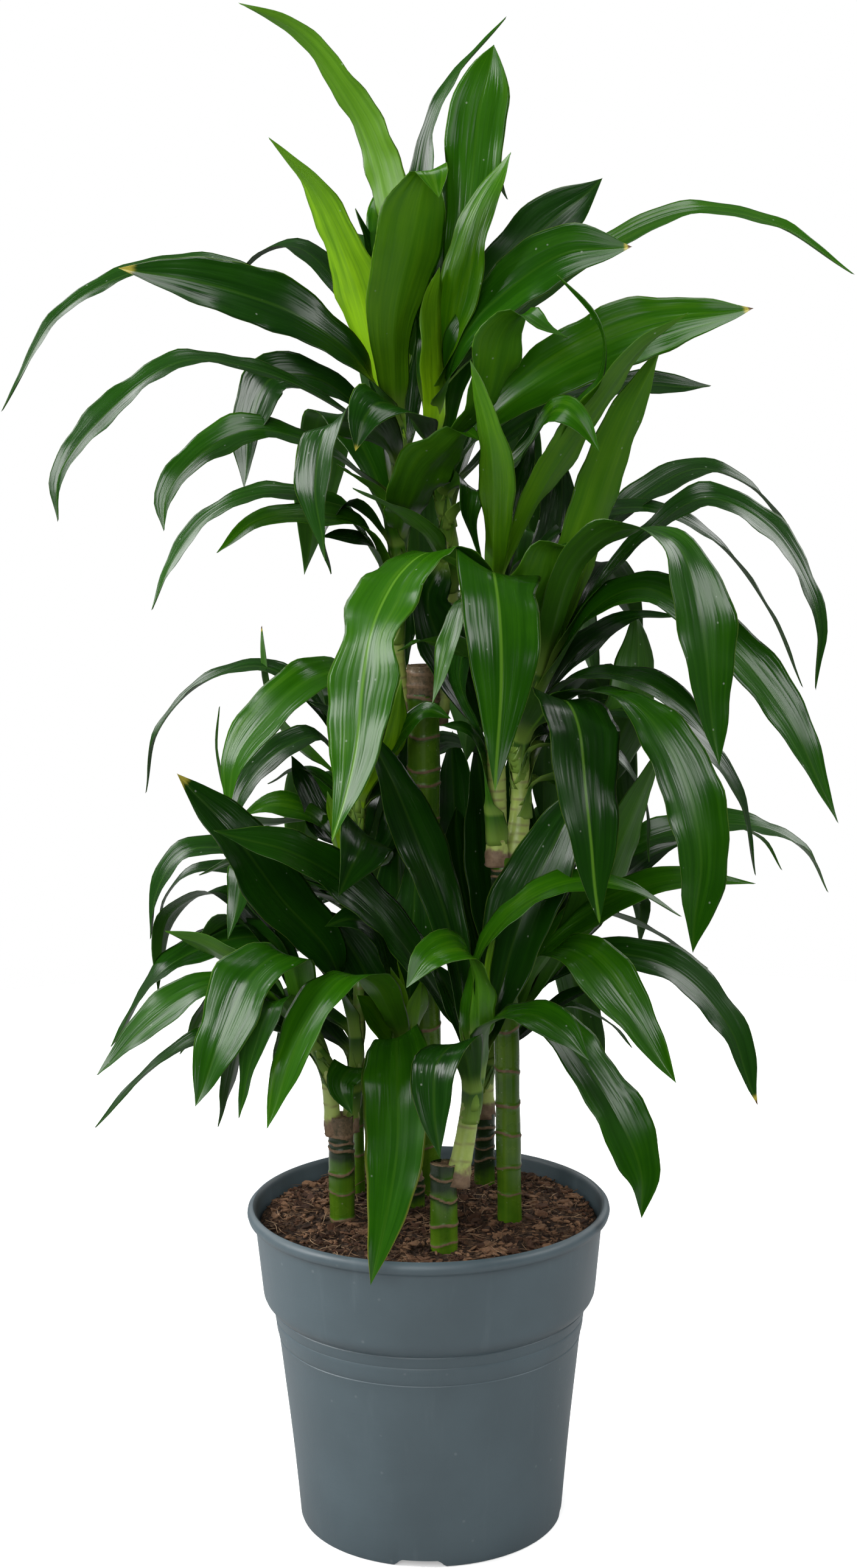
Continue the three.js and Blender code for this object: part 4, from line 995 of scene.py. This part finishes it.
def strap_leaf(row, shoots, rng, made):
    """Adds one leaf: width, roll in degrees, where it is fullest, its look, and its midrib's points.

    A look is a tone of TONES and any of these marks: waist, necked, flat, crinkled, ribbed,
    yellow_edge, yellow_tip and brown_tip.
    """
    width, roll, fullest, look, *midrib = row
    tone_name, *marks = look.split()
    tone = TONES[tone_name]
    foot = midrib[0]
    tip = midrib[-1]
    shares, middles, tangents, clasp, first_turn, blade_length = leaf_path(midrib, shoots)
    swing = math.remainder(math.atan2(tip[1] - foot[1], tip[0] - foot[0]) - first_turn, 2 * math.pi)
    phases = rng.uniform(0, 2 * math.pi, 4)
    ruffles = blade_length / rng.uniform(58, 85)
    draw = rng.random()
    crinkle = CRINKLED if "crinkled" in marks else RUFFLE
    bends = np.linalg.norm(np.diff(tangents[SHEATH_RINGS:], axis=0), axis=1)
    bend_at = (np.argmax(bends[3:-3]) + 3) / (len(shares) - SHEATH_RINGS)
    start = len(made["points"])
    for u, middle, tangent in zip(shares, middles, tangents):
        free = max(u, 0.0)
        turn = first_turn + swing * ease(0, 0.25, free)
        flat = np.array([-math.sin(turn), math.cos(turn), 0])
        flat -= tangent * flat.dot(tangent)
        flat /= np.linalg.norm(flat)
        rolled = math.radians(roll) * ease(0, 0.3, free)
        side = flat * math.cos(rolled) + np.cross(tangent, flat) * math.sin(rolled)
        face = np.cross(tangent, side)
        half_blade = width / 2 * blade_outline(free, fullest)
        if "waist" in marks:
            half_blade *= 1 - WAIST * math.exp(-((free - bend_at) / WAIST_REACH) ** 2)
        if "necked" in marks:
            half_blade *= 1 - NECK * math.exp(-((free - NECK_AT) / NECK_REACH) ** 2)
        sheath_half = clasp * (1.25 + 1.25 * max(-u, 0) ** 1.4)
        half = half_blade + (sheath_half - half_blade) * (1 - ease(0, 0.1, free))
        wrap = 1 - ease(0.0, 0.13, free)
        round_radius = clasp - 0.9 * max(-u, 0)
        channel = CHANNEL * (CHANNEL_FLAT if "flat" in marks else 1)
        channel += 0.2 * ease(0.8, 1, free) + 0.1 * (1 - ease(0.1, 0.45, free))
        wave = EDGE_WAVE * half * math.sin(2 * math.pi * WAVE_COUNT * free + foot[2])
        lively = ease(0.06, 0.3, free)
        ruffle = [crinkle * half * lively * (math.sin(2 * math.pi * ruffles * free + phases[k])
                                             + 0.5 * math.sin(4.6 * math.pi * ruffles * free + phases[k + 2]))
                  for k in (0, 1)]
        scallop = [1 + SCALLOP * lively * math.sin(2 * math.pi * ruffles * 0.8 * free + phases[k + 2])
                   for k in (0, 1)]
        lifts = {}
        for s in ACROSS:
            bend = s * half / round_radius
            rolled_in = (round_radius * math.sin(bend), round_radius * (1 - math.cos(bend)))
            rise = wave * s + ruffle[s > 0] * s * s - channel * half * (1 - abs(s) ** 1.25)
            open_out = (s * half * scallop[s > 0], rise)
            lifts[s] = [o + (c - o) * wrap for o, c in zip(open_out, rolled_in)]
        thick = BLADE_THICK + BASE_THICKER * (1 - free)
        for s in ACROSS:
            x, y = lifts[s]
            made["points"].append(middle + side * x + face * y)
        for s in UNDER:
            x, y = lifts[s]
            rib_depth = RIB_DEPTH * (1 - 0.6 * free) * (abs(s) < 0.1)
            made["points"].append(middle + side * x + face * (y - thick * (1.4 - abs(s)) - rib_depth))
        sheath_share = -u if u < 0 else 0.8 * (1 - ease(0, 0.14, free))
        burnt = 0.0
        if "brown_tip" in marks:
            burnt = 0.9 * ease(0.955, 0.995, free)
        if "yellow_tip" in marks:
            burnt = 0.66 * ease(0.92, 0.99, free)
        golden = GOLD_EDGE * ease(0.3, 0.95, free) if "yellow_edge" in marks else 0
        for under, row_of in ((0, ACROSS), (1, UNDER)):
            for s in row_of:
                made["blade"].append((s / 2 + 0.5, free, tone, draw))
                made["state"].append((half / HALF_WIDTH_UNIT, under, burnt, sheath_share))
                made["marks"].append(("ribbed" in marks, golden, 0, 1))
    made["points"].append(tip)
    made["blade"].append((0.5, 1, tone, draw))
    made["state"].append((0, 0.5, burnt, 0))
    made["marks"].append((0, 0, 0, 1))
    made["faces"] += leaf_faces(start, len(shares))


REAR_LOOKS = ("dark", "mid", "dark", "grey", "mid", "bright")


def rear_leaves(low, high, turn, count, reach, width, lift):
    """Leaves behind the head, by the same rule as its solid: lower ones reach out, upper ones stand up."""
    rows = []
    for k in range(count):
        level = (k + 0.5) / count
        heading = math.radians(turn[0] + (turn[1] - turn[0]) * ((0.31 + 0.618 * k) % 1))
        run = reach * (1 - 0.35 * level) * (0.86 + 0.28 * ((0.2 + 0.377 * k) % 1))
        rise = lift * (70 + 110 * level) * (0.85 + 0.3 * ((0.5 + 0.733 * k) % 1))
        fall = (0.5 + 0.5 * lift) * 170 * (1 - level) ** 1.2 + 8
        x, y, z = [a + (b - a) * level for a, b in zip(low, high)]
        midrib = [(x + out * run * math.cos(heading), y + out * run * math.sin(heading), z + up)
                  for out, up in ((0, 0), (0.26, 0.62 * rise), (0.62, rise), (1, rise - fall))]
        rows.append((width * (0.85 + 0.3 * ((0.541 * k) % 1)), -24 + 48 * ((0.1 + 0.447 * k) % 1), 0.5,
                     REAR_LOOKS[k % len(REAR_LOOKS)], *midrib))
    return rows


def leafy_head(head, shoots, rows):
    """One head: its shoots, as green_shoots takes them, and all its leaves as one object."""
    green_shoots(head, shoots)
    rng = np.random.default_rng(sum(ord(letter) for letter in head))
    made = {"points": [], "faces": [], "blade": [], "state": [], "marks": []}
    for row in rows:
        strap_leaf(row, shoots, rng, made)
    thing = mesh_object(head + "_leaves", made["points"], made["faces"], [leaf_skin])
    for name in ("blade", "state", "marks"):
        painted(thing, name, made[name])
    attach(thing, "root")
    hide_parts(head)


# ------------------------------------------------------------------ top heads
# Two shoots break out on either side of the tall cane's sawn end and carry the plant's crown.
# Each row is a leaf: width, roll, where it is fullest, look, then its midrib from stem to tip.

leafy_head(
    "leafy_head_top_left",
    [([(-12, 54, 598), (-20, 50, 640), (-19, 38, 700), (-16, 28, 780), (-17, 25, 860)], (7.5, 4))],
    [
        (46, 50, 0.38, "light", (-17, 26, 839), (-14, 44, 928), (-28, 62, 1010), (-54, 66, 1060),
          (-90, 66, 1100), (-128, 64, 1116)),
        (54, 10, 0.62, "olive waist", (-16, 26, 823), (-20, -6, 884), (-8, -24, 940), (2, -38, 980),
          (8, -50, 990), (14, -62, 968)),
        (46, 10, 0.36, "lime", (-16, 26, 820), (-36, 6, 888), (-50, -10, 934), (-72, -24, 980),
          (-102, -34, 1012)),
        (34, 30, 0.5, "dark", (-17, 26, 842), (-22, 52, 902), (-34, 62, 942), (-46, 66, 972)),
        (48, -60, 0.62, "dark yellow_tip", (-16, 26, 816), (-38, -8, 858), (-80, -34, 892), (-120, -50, 908),
          (-160, -58, 918), (-204, -60, 924)),
        (40, -15, 0.6, "dark", (-17, 26, 836), (-56, 46, 916), (-88, 56, 946), (-114, 60, 942),
          (-134, 62, 924)),
        (30, -25, 0.62, "grey", (-16, 26, 826), (-84, 40, 906), (-158, 50, 936), (-216, 52, 926),
          (-264, 46, 896), (-304, 36, 828)),
        (40, -20, 0.7, "grey waist", (-16, 27, 800), (-66, 0, 836), (-116, -16, 858), (-166, -26, 864),
          (-216, -34, 832), (-254, -38, 784), (-254, -40, 752)),
        (44, -40, 0.6, "dark", (-16, 27, 803), (-70, 30, 850), (-108, 26, 852), (-124, 22, 820),
          (-128, 18, 772)),
        (42, -25, 0.66, "mid", (-17, 30, 760), (-66, 14, 800), (-118, 0, 816), (-156, -12, 800),
          (-182, -20, 768), (-182, -24, 744)),
        (48, 30, 0.5, "grey", (-16, 27, 790), (-38, -40, 820), (-64, -66, 820), (-74, -80, 780),
          (-66, -86, 726)),
        (52, 0, 0.6, "bright crinkled", (-18, 33, 736), (-8, -20, 766), (2, -36, 788), (18, -48, 804),
          (30, -54, 814), (40, -60, 806)),
        (28, -20, 0.5, "bright", (-18, 34, 730), (-30, 4, 768), (-44, -6, 780), (-60, -12, 790)),
        (36, -20, 0.5, "mid", (-19, 37, 706), (-58, 26, 758), (-112, 26, 770), (-152, 28, 756),
          (-184, 28, 718), (-198, 26, 684)),
        (38, -20, 0.5, "bright", (-19, 38, 703), (-40, 8, 746), (-84, -4, 756), (-118, -12, 750),
          (-146, -16, 728)),
        (30, -25, 0.5, "dark", (-19, 39, 693), (-36, 16, 732), (-54, 10, 738), (-72, 4, 738)),
        (26, 10, 0.5, "dark", (-18, 33, 733), (-52, 20, 762), (-72, 14, 742), (-66, 10, 710)),
        (40, 85, 0.5, "mid", (-20, 42, 680), (-8, 52, 688), (-12, 58, 668), (-12, 60, 636)),
        *rear_leaves((-19, 38, 700), (-17, 26, 846), (66, 122), 6, 172, 46, 1),
    ],
)

leafy_head(
    "leafy_head_top_right",
    [([(9, 57, 596), (17, 48, 640), (19, 26, 734), (11, 12, 789), (6, 9, 850)], (7.5, 4))],
    [
        (36, -15, 0.55, "mid", (8, 10, 820), (0, 40, 944), (6, 58, 1024), (26, 60, 1064), (64, 58, 1104)),
        (46, 45, 0.86, "bright flat", (8, 10, 823), (30, 28, 930), (38, 34, 990), (44, 32, 1040),
          (54, 26, 1080)),
        (44, 65, 0.55, "olive flat", (8, 10, 826), (26, -8, 904), (42, -18, 962), (64, -20, 1002)),
        (40, 25, 0.5, "lime", (9, 10, 807), (10, 0, 858), (10, 0, 900), (14, 2, 926)),
        (50, 35, 0.7, "dark", (7, 10, 829), (40, 40, 902), (84, 60, 952), (134, 72, 992)),
        (50, 60, 0.66, "mid brown_tip", (8, 10, 817), (26, -16, 874), (60, -30, 910), (100, -38, 934),
          (146, -42, 936)),
        (42, 0, 0.5, "bright crinkled", (10, 11, 797), (42, -30, 828), (50, -46, 858), (56, -58, 880),
          (68, -68, 892), (86, -76, 882), (100, -80, 874)),
        (34, 25, 0.72, "bright", (7, 9, 833), (84, 60, 906), (160, 70, 958), (208, 66, 970), (264, 56, 956),
          (314, 44, 920)),
        (54, 60, 0.62, "bright brown_tip", (13, 15, 775), (46, -14, 820), (98, -30, 858), (156, -38, 882),
          (230, -40, 894)),
        (40, 25, 0.74, "dark", (15, 17, 765), (74, 28, 818), (144, 34, 844), (210, 34, 842)),
        (36, 45, 0.5, "bright", (17, 22, 750), (68, -30, 796), (92, -82, 828), (106, -92, 820),
          (120, -98, 798)),
        (44, -25, 0.5, "dark yellow_tip", (10, 11, 801), (-8, -50, 828), (-28, -80, 834), (-38, -92, 822),
          (-44, -96, 800)),
        (34, -10, 0.5, "mid", (20, 30, 718), (-2, -22, 748), (-26, -34, 764), (-48, -40, 774)),
        (28, -40, 0.5, "mid brown_tip", (14, 16, 769), (34, -22, 776), (34, -38, 750), (42, -46, 722)),
        (58, 5, 0.5, "dark", (20, 29, 721), (6, 8, 692), (18, 10, 654), (42, 14, 596)),
        (58, 25, 0.5, "dark", (20, 38, 686), (22, 58, 696), (34, 76, 666), (36, 74, 614), (32, 68, 564)),
        *rear_leaves((19, 26, 734), (7, 9, 842), (48, 70), 3, 144, 40, 1),
    ],
)


# ------------------------------------------------------------------ right head
# Two green shoots grow from the side of the right cane, just under its sawn end. Their broad outer
# leaves arch forward and hang in front of the canes.

leafy_head(
    "leafy_head_right",
    [
        ([(52, -12, 500), (52, -15, 559), (50, -18, 650), (49, -20, 730)], (7.5, 5)),
        ([(64, -2, 496), (70, 4, 540), (71, 4, 600), (82, 0, 640)], (8.5, 5)),
    ],
    [
        (26, 55, 0.5, "mid", (49, -20, 715), (98, -58, 816), (122, -74, 848), (120, -80, 884),
          (92, -78, 916)),
        (62, 5, 0.52, "bright ribbed necked flat", (49, -19, 695), (28, -74, 726), (4, -106, 734),
          (-14, -132, 722), (-26, -148, 704), (-34, -160, 684), (-40, -174, 650), (-44, -186, 612),
          (-52, -194, 580), (-60, -198, 552)),
        (62, -20, 0.27, "mid ribbed", (49, -19, 698), (50, -82, 722), (50, -126, 718), (52, -148, 694),
          (52, -168, 652), (46, -186, 582)),
        (30, 30, 0.5, "bright", (50, -19, 682), (30, -62, 702), (18, -84, 672), (6, -92, 628)),
        (30, 15, 0.5, "mid", (50, -18, 644), (24, -44, 662), (0, -56, 670), (-18, -62, 662)),
        (34, -35, 0.5, "olive", (49, -19, 701), (52, -52, 744), (50, -76, 800), (34, -84, 860)),
        (40, -10, 0.5, "olive", (49, -19, 704), (74, -48, 760), (112, -60, 820), (148, -80, 868),
          (180, -86, 890)),
        (46, -40, 0.5, "olive", (79, 1, 631), (108, -4, 716), (134, -10, 798), (156, -14, 846),
          (170, -16, 872)),
        (56, -15, 0.5, "dark", (50, -19, 685), (94, 22, 736), (102, 34, 796)),
        (52, -10, 0.5, "bright", (50, -18, 659), (82, -48, 710), (90, -66, 736), (100, -78, 734)),
        (36, 20, 0.5, "dark", (49, -19, 691), (66, -10, 772), (82, -12, 824)),
        (40, 5, 0.5, "dark", (51, -17, 610), (30, -28, 670), (24, -26, 636), (42, -22, 594)),
        (24, -35, 0.5, "mid", (52, -14, 540), (44, -24, 578), (32, -30, 602), (12, -34, 606)),
        (42, 15, 0.6, "grey", (79, 1, 635), (120, 44, 726), (166, 64, 766), (206, 72, 784), (248, 74, 768),
          (284, 70, 720)),
        (42, 20, 0.62, "grey", (79, 1, 638), (116, -6, 690), (158, -16, 740), (200, -24, 766),
          (246, -30, 744), (280, -34, 682), (278, -34, 628)),
        (30, 20, 0.6, "grey", (49, -19, 688), (104, 24, 744), (164, 40, 756), (218, 48, 730), (260, 50, 674),
          (282, 48, 620)),
        (54, -5, 0.72, "mid waist", (79, 1, 641), (104, -60, 722), (138, -94, 750), (170, -118, 740),
          (184, -136, 706), (196, -150, 592)),
        (50, 30, 0.52, "mid", (75, 3, 616), (118, -20, 686), (156, -36, 704), (210, -48, 670),
          (254, -54, 618), (292, -56, 536)),
        (42, 10, 0.5, "dark", (72, 4, 607), (112, 18, 654), (150, 28, 676), (188, 34, 676)),
        (56, -85, 0.5, "mid", (70, 5, 555), (130, 40, 568), (156, 56, 620), (158, 64, 678)),
        (40, 10, 0.5, "grey", (72, 4, 604), (108, -38, 642), (150, -58, 642), (184, -68, 620),
          (206, -72, 590)),
        (54, 0, 0.74, "mid waist", (70, 4, 593), (108, -62, 634), (144, -96, 630), (172, -120, 594),
          (188, -136, 532), (180, -144, 464)),
        (58, -15, 0.5, "dark ribbed", (70, 4, 589), (96, -74, 632), (106, -122, 618), (110, -148, 568),
          (116, -160, 488)),
        (30, 25, 0.5, "dark", (70, 5, 582), (132, 30, 580), (164, 40, 544), (168, 42, 490)),
        (34, 30, 0.6, "dark", (71, 4, 597), (156, 44, 606), (206, 54, 582), (240, 58, 532), (250, 58, 476)),
        (46, 30, 0.5, "dark", (70, 5, 585), (92, 34, 598), (92, 46, 558), (90, 50, 512)),
        *rear_leaves((71, 4, 560), (80, 1, 634), (35, 95), 6, 170, 46, 0.8),
    ],
)


# ------------------------------------------------------------------ left heads
# Small heads of narrow leaves. The thin cane's stands behind on the left, and two small shoots
# grow out below the left cane's sawn end.

leafy_head(
    "leafy_head_mid_left",
    [([(-53, 48, 326), (-52, 54, 450), (-50, 58, 520), (-45, 60, 580)], (5, 4))],
    [
        (26, 55, 0.5, "mid", (-48, 59, 549), (-16, 14, 596), (2, 4, 612), (20, -2, 606)),
        (20, 0, 0.5, "lime", (-49, 59, 539), (-22, 20, 586), (-16, 12, 634)),
        (46, -40, 0.58, "dark", (-51, 56, 479), (-38, 0, 512), (-40, -48, 532), (-46, -82, 522),
          (-60, -100, 496)),
        (38, -10, 0.6, "grey", (-52, 55, 463), (-100, 40, 488), (-144, 30, 508), (-180, 28, 506),
          (-202, 28, 474), (-206, 28, 438)),
        (28, -10, 0.5, "dark", (-52, 55, 460), (-96, 62, 474), (-142, 68, 484), (-180, 72, 482),
          (-202, 74, 456), (-202, 74, 424)),
        (24, -15, 0.5, "bright", (-52, 54, 450), (-104, 44, 482), (-136, 42, 496), (-170, 42, 484)),
        (38, -5, 0.5, "grey", (-52, 54, 454), (-110, 2, 490), (-130, -10, 500), (-138, -16, 472),
          (-144, -20, 448)),
        (20, 20, 0.5, "lime", (-52, 54, 441), (-116, 70, 448), (-140, 74, 458), (-140, 76, 432)),
        (32, -15, 0.6, "grey", (-47, 59, 555), (-90, 76, 620), (-126, 84, 638), (-174, 90, 622),
          (-206, 92, 584), (-214, 92, 538)),
        (24, 45, 0.5, "mid brown_tip", (-48, 59, 545), (-104, 84, 586), (-120, 90, 628), (-122, 92, 666)),
        (20, 30, 0.5, "mid", (-50, 58, 523), (-140, 92, 520), (-158, 98, 566), (-156, 100, 604)),
        (46, -15, 0.55, "bright", (-48, 59, 552), (-50, 32, 638), (-82, 6, 638), (-116, -4, 610),
          (-138, -6, 578), (-144, -6, 536)),
        (42, -10, 0.5, "dark", (-48, 59, 542), (-76, 38, 590), (-110, 24, 580), (-136, 16, 550),
          (-144, 12, 518)),
        (40, -15, 0.5, "dark", (-51, 57, 498), (-72, 64, 510), (-90, 66, 548), (-100, 68, 570)),
        (38, -20, 0.5, "bright", (-51, 56, 488), (-82, 52, 528), (-112, 46, 538), (-138, 44, 528)),
        (28, -5, 0.5, "dark", (-47, 59, 558), (-64, 66, 598), (-88, 68, 612)),
        (22, 0, 0.5, "mid", (-49, 58, 529), (-92, 78, 560), (-120, 84, 546)),
        (20, -5, 0.5, "lime", (-52, 55, 476), (-62, 40, 500), (-72, 36, 548)),
        (44, 15, 0.5, "dark", (-49, 59, 533), (-16, 84, 556), (16, 92, 578), (50, 88, 564)),
        (46, 5, 0.5, "dark", (-51, 56, 482), (-24, 78, 508), (-12, 84, 548), (-8, 84, 600)),
        (54, -25, 0.5, "dark", (-52, 54, 457), (-62, 72, 464), (-78, 82, 464), (-94, 86, 450)),
        *rear_leaves((-51, 56, 486), (-47, 59, 560), (68, 118), 6, 142, 42, 0.5),
    ],
)

leafy_head(
    "leafy_head_left",
    [([(-69, -14, 300), (-74, -18, 350), (-86, -28, 395), (-88, -30, 420)], (6, 4))],
    [
        (54, -5, 0.58, "mid", (-83, -26, 384), (-98, -78, 454), (-122, -102, 444), (-142, -118, 404),
          (-160, -124, 354)),
        (42, -15, 0.6, "mid", (-84, -26, 387), (-118, -44, 424), (-158, -54, 424), (-196, -60, 402),
          (-236, -64, 360)),
        (32, -5, 0.5, "dark", (-78, -21, 366), (-116, -26, 386), (-164, -28, 380), (-204, -28, 354),
          (-244, -28, 310)),
        (48, -25, 0.62, "grey", (-85, -27, 390), (-112, 6, 442), (-148, 16, 442), (-200, 24, 416),
          (-238, 26, 356)),
        (32, 5, 0.5, "grey", (-81, -24, 377), (-114, 28, 436), (-154, 42, 472), (-194, 48, 454),
          (-204, 48, 390)),
        (34, 45, 0.5, "bright", (-82, -25, 381), (-124, -16, 422), (-160, -14, 444), (-190, -14, 454)),
        (22, 35, 0.5, "dark", (-85, -28, 393), (-104, 8, 438), (-132, 14, 468)),
        (38, 15, 0.5, "mid", (-79, -22, 370), (-108, -56, 414), (-124, -72, 382), (-134, -80, 332)),
        *rear_leaves((-74, -18, 345), (-85, -27, 392), (128, 166), 3, 130, 42, 0.4),
    ],
)

leafy_head(
    "leafy_head_left_inner",
    [([(-58, -10, 300), (-53, -4, 350), (-50, 0, 395), (-50, 0, 415)], (6, 4))],
    [
        (54, -60, 0.6, "dark yellow_tip", (-51, -2, 371), (-66, -22, 434), (-100, -40, 482), (-136, -52, 536),
          (-174, -54, 576)),
        (26, -5, 0.5, "mid", (-55, -6, 332), (-54, -44, 360), (-62, -56, 350), (-54, -60, 328)),
        *rear_leaves((-53, -4, 345), (-50, 0, 395), (112, 136), 3, 165, 40, 0.2),
    ],
)


# ------------------------------------------------------------------ low heads
# The heads of the short canes. The stub's fills the middle, the front cane's leans right, and the
# back cane's fans out low behind on the right.

leafy_head(
    "leafy_head_centre",
    [([(-12, 12, 250), (-13, 4, 310), (-16, -8, 365), (-16, -10, 395)], (7, 4))],
    [
        (52, 20, 0.5, "mid yellow_edge", (-15, -6, 352), (-22, -68, 390), (-22, -120, 376), (-22, -142, 332),
          (-28, -150, 292), (-40, -156, 236)),
        (46, 10, 0.6, "bright", (-16, -8, 365), (-36, -72, 430), (-58, -104, 442), (-88, -128, 406),
          (-110, -138, 342)),
        (28, 0, 0.5, "light", (-16, -7, 358), (-20, -12, 392), (-26, -16, 426)),
        (26, 15, 0.5, "light", (-16, -8, 368), (-8, -20, 390), (-4, -24, 418)),
        (34, -55, 0.5, "olive", (-16, -7, 361), (-34, -26, 386), (-50, -36, 410)),
        (14, 80, 0.5, "lime", (-16, -9, 374), (-20, 0, 408), (-26, 2, 440)),
        (36, -50, 0.5, "dark", (-16, -9, 371), (-32, -26, 452), (-52, -40, 468), (-72, -50, 464)),
        (46, -25, 0.45, "dark", (-16, -6, 355), (-14, 12, 414), (-10, 16, 468), (-6, 20, 516)),
        (40, -60, 0.5, "dark", (-15, -5, 349), (-36, 16, 394), (-56, 16, 434), (-80, 18, 464)),
        (52, -45, 0.5, "dark", (-15, -4, 345), (-26, 40, 406), (-22, 62, 458), (-22, 68, 514)),
    ],
)

leafy_head(
    "leafy_head_front",
    [([(20, -76, 280), (28, -72, 320), (35, -66, 370), (36, -64, 410)], (8, 5))],
    [
        (58, 40, 0.55, "dark", (35, -66, 369), (52, -50, 420), (70, -42, 476), (92, -42, 524),
          (114, -46, 566)),
        (44, -25, 0.42, "bright", (36, -65, 382), (40, -84, 432), (26, -100, 462), (2, -110, 456),
          (-14, -114, 434)),
        (16, -60, 0.5, "lime", (36, -65, 385), (42, -60, 426), (50, -56, 464)),
        (36, 10, 0.5, "dark", (35, -66, 372), (20, -46, 410), (6, -38, 434)),
        (38, 10, 0.6, "bright", (35, -66, 366), (34, -64, 440), (64, -66, 482), (108, -64, 500),
          (152, -60, 490), (182, -56, 470)),
        (44, 10, 0.5, "mid", (34, -67, 358), (42, -104, 408), (72, -116, 418), (96, -122, 404),
          (112, -124, 384)),
        (38, 15, 0.5, "dark", (32, -68, 349), (22, -116, 398), (6, -142, 390), (4, -152, 356),
          (8, -156, 326)),
        (44, -20, 0.6, "dark", (35, -66, 375), (18, -34, 460), (0, -26, 512), (-20, -26, 562),
          (-42, -26, 606)),
        (56, -30, 0.55, "grey", (36, -65, 379), (22, -44, 394), (-4, -34, 434), (-46, -58, 492),
          (-92, -82, 526), (-146, -92, 542)),
    ],
)

leafy_head(
    "leafy_head_low_right",
    [([(44, 70, 286), (47, 66, 340), (62, 58, 370), (74, 50, 385)], (7, 5))],
    [
        (44, -30, 0.5, "mid", (65, 56, 370), (118, 34, 454), (152, 14, 536), (172, 4, 584)),
        (42, 15, 0.66, "mid", (67, 55, 373), (122, 76, 474), (182, 88, 506), (254, 96, 510), (296, 98, 488),
          (312, 98, 454)),
        (44, 10, 0.5, "dark", (68, 54, 376), (132, 84, 452), (170, 100, 484), (208, 112, 496)),
        (40, 30, 0.5, "bright", (49, 65, 341), (82, 26, 424), (130, 12, 466), (184, 6, 486), (242, 0, 482)),
        (48, 10, 0.62, "bright", (56, 61, 354), (90, -6, 436), (114, -36, 440), (144, -54, 406),
          (178, -64, 350)),
        (50, 25, 0.7, "grey brown_tip waist", (50, 64, 344), (92, 60, 400), (138, 60, 418), (190, 58, 406),
          (232, 52, 362), (252, 46, 300)),
        (26, -5, 0.5, "dark", (62, 58, 363), (122, 100, 440), (172, 112, 426), (222, 118, 390)),
        (26, -10, 0.5, "dark", (69, 53, 379), (134, 120, 444), (168, 136, 444), (170, 142, 402)),
        (28, 25, 0.5, "dark", (46, 67, 331), (96, 40, 382), (132, 30, 402)),
        (24, -5, 0.5, "grey", (45, 67, 328), (102, 80, 372), (142, 88, 356), (160, 90, 334)),
        (52, 0, 0.7, "mid", (48, 66, 338), (84, 0, 388), (112, -34, 364), (140, -52, 322), (156, -58, 280),
          (154, -60, 248)),
        (50, 0, 0.68, "dark", (47, 66, 335), (42, 74, 412), (30, 86, 468), (24, 90, 526)),
        (50, 30, 0.45, "dark", (53, 63, 351), (56, 92, 442), (48, 106, 520), (42, 104, 592)),
        (26, 0, 0.5, "mid", (60, 59, 360), (142, 112, 466), (216, 130, 506), (264, 136, 492),
          (282, 138, 464)),
        (52, 15, 0.6, "dark", (51, 64, 347), (42, 100, 420), (28, 122, 484), (22, 124, 580)),
        (56, 10, 0.5, "dark", (58, 60, 357), (54, 80, 454), (48, 88, 518), (40, 90, 582)),
        (54, -35, 0.5, "dark", (63, 57, 367), (70, 84, 452), (70, 92, 514), (68, 92, 578)),
        *rear_leaves((46, 67, 325), (68, 54, 376), (20, 104), 6, 150, 44, 1),
    ],
)
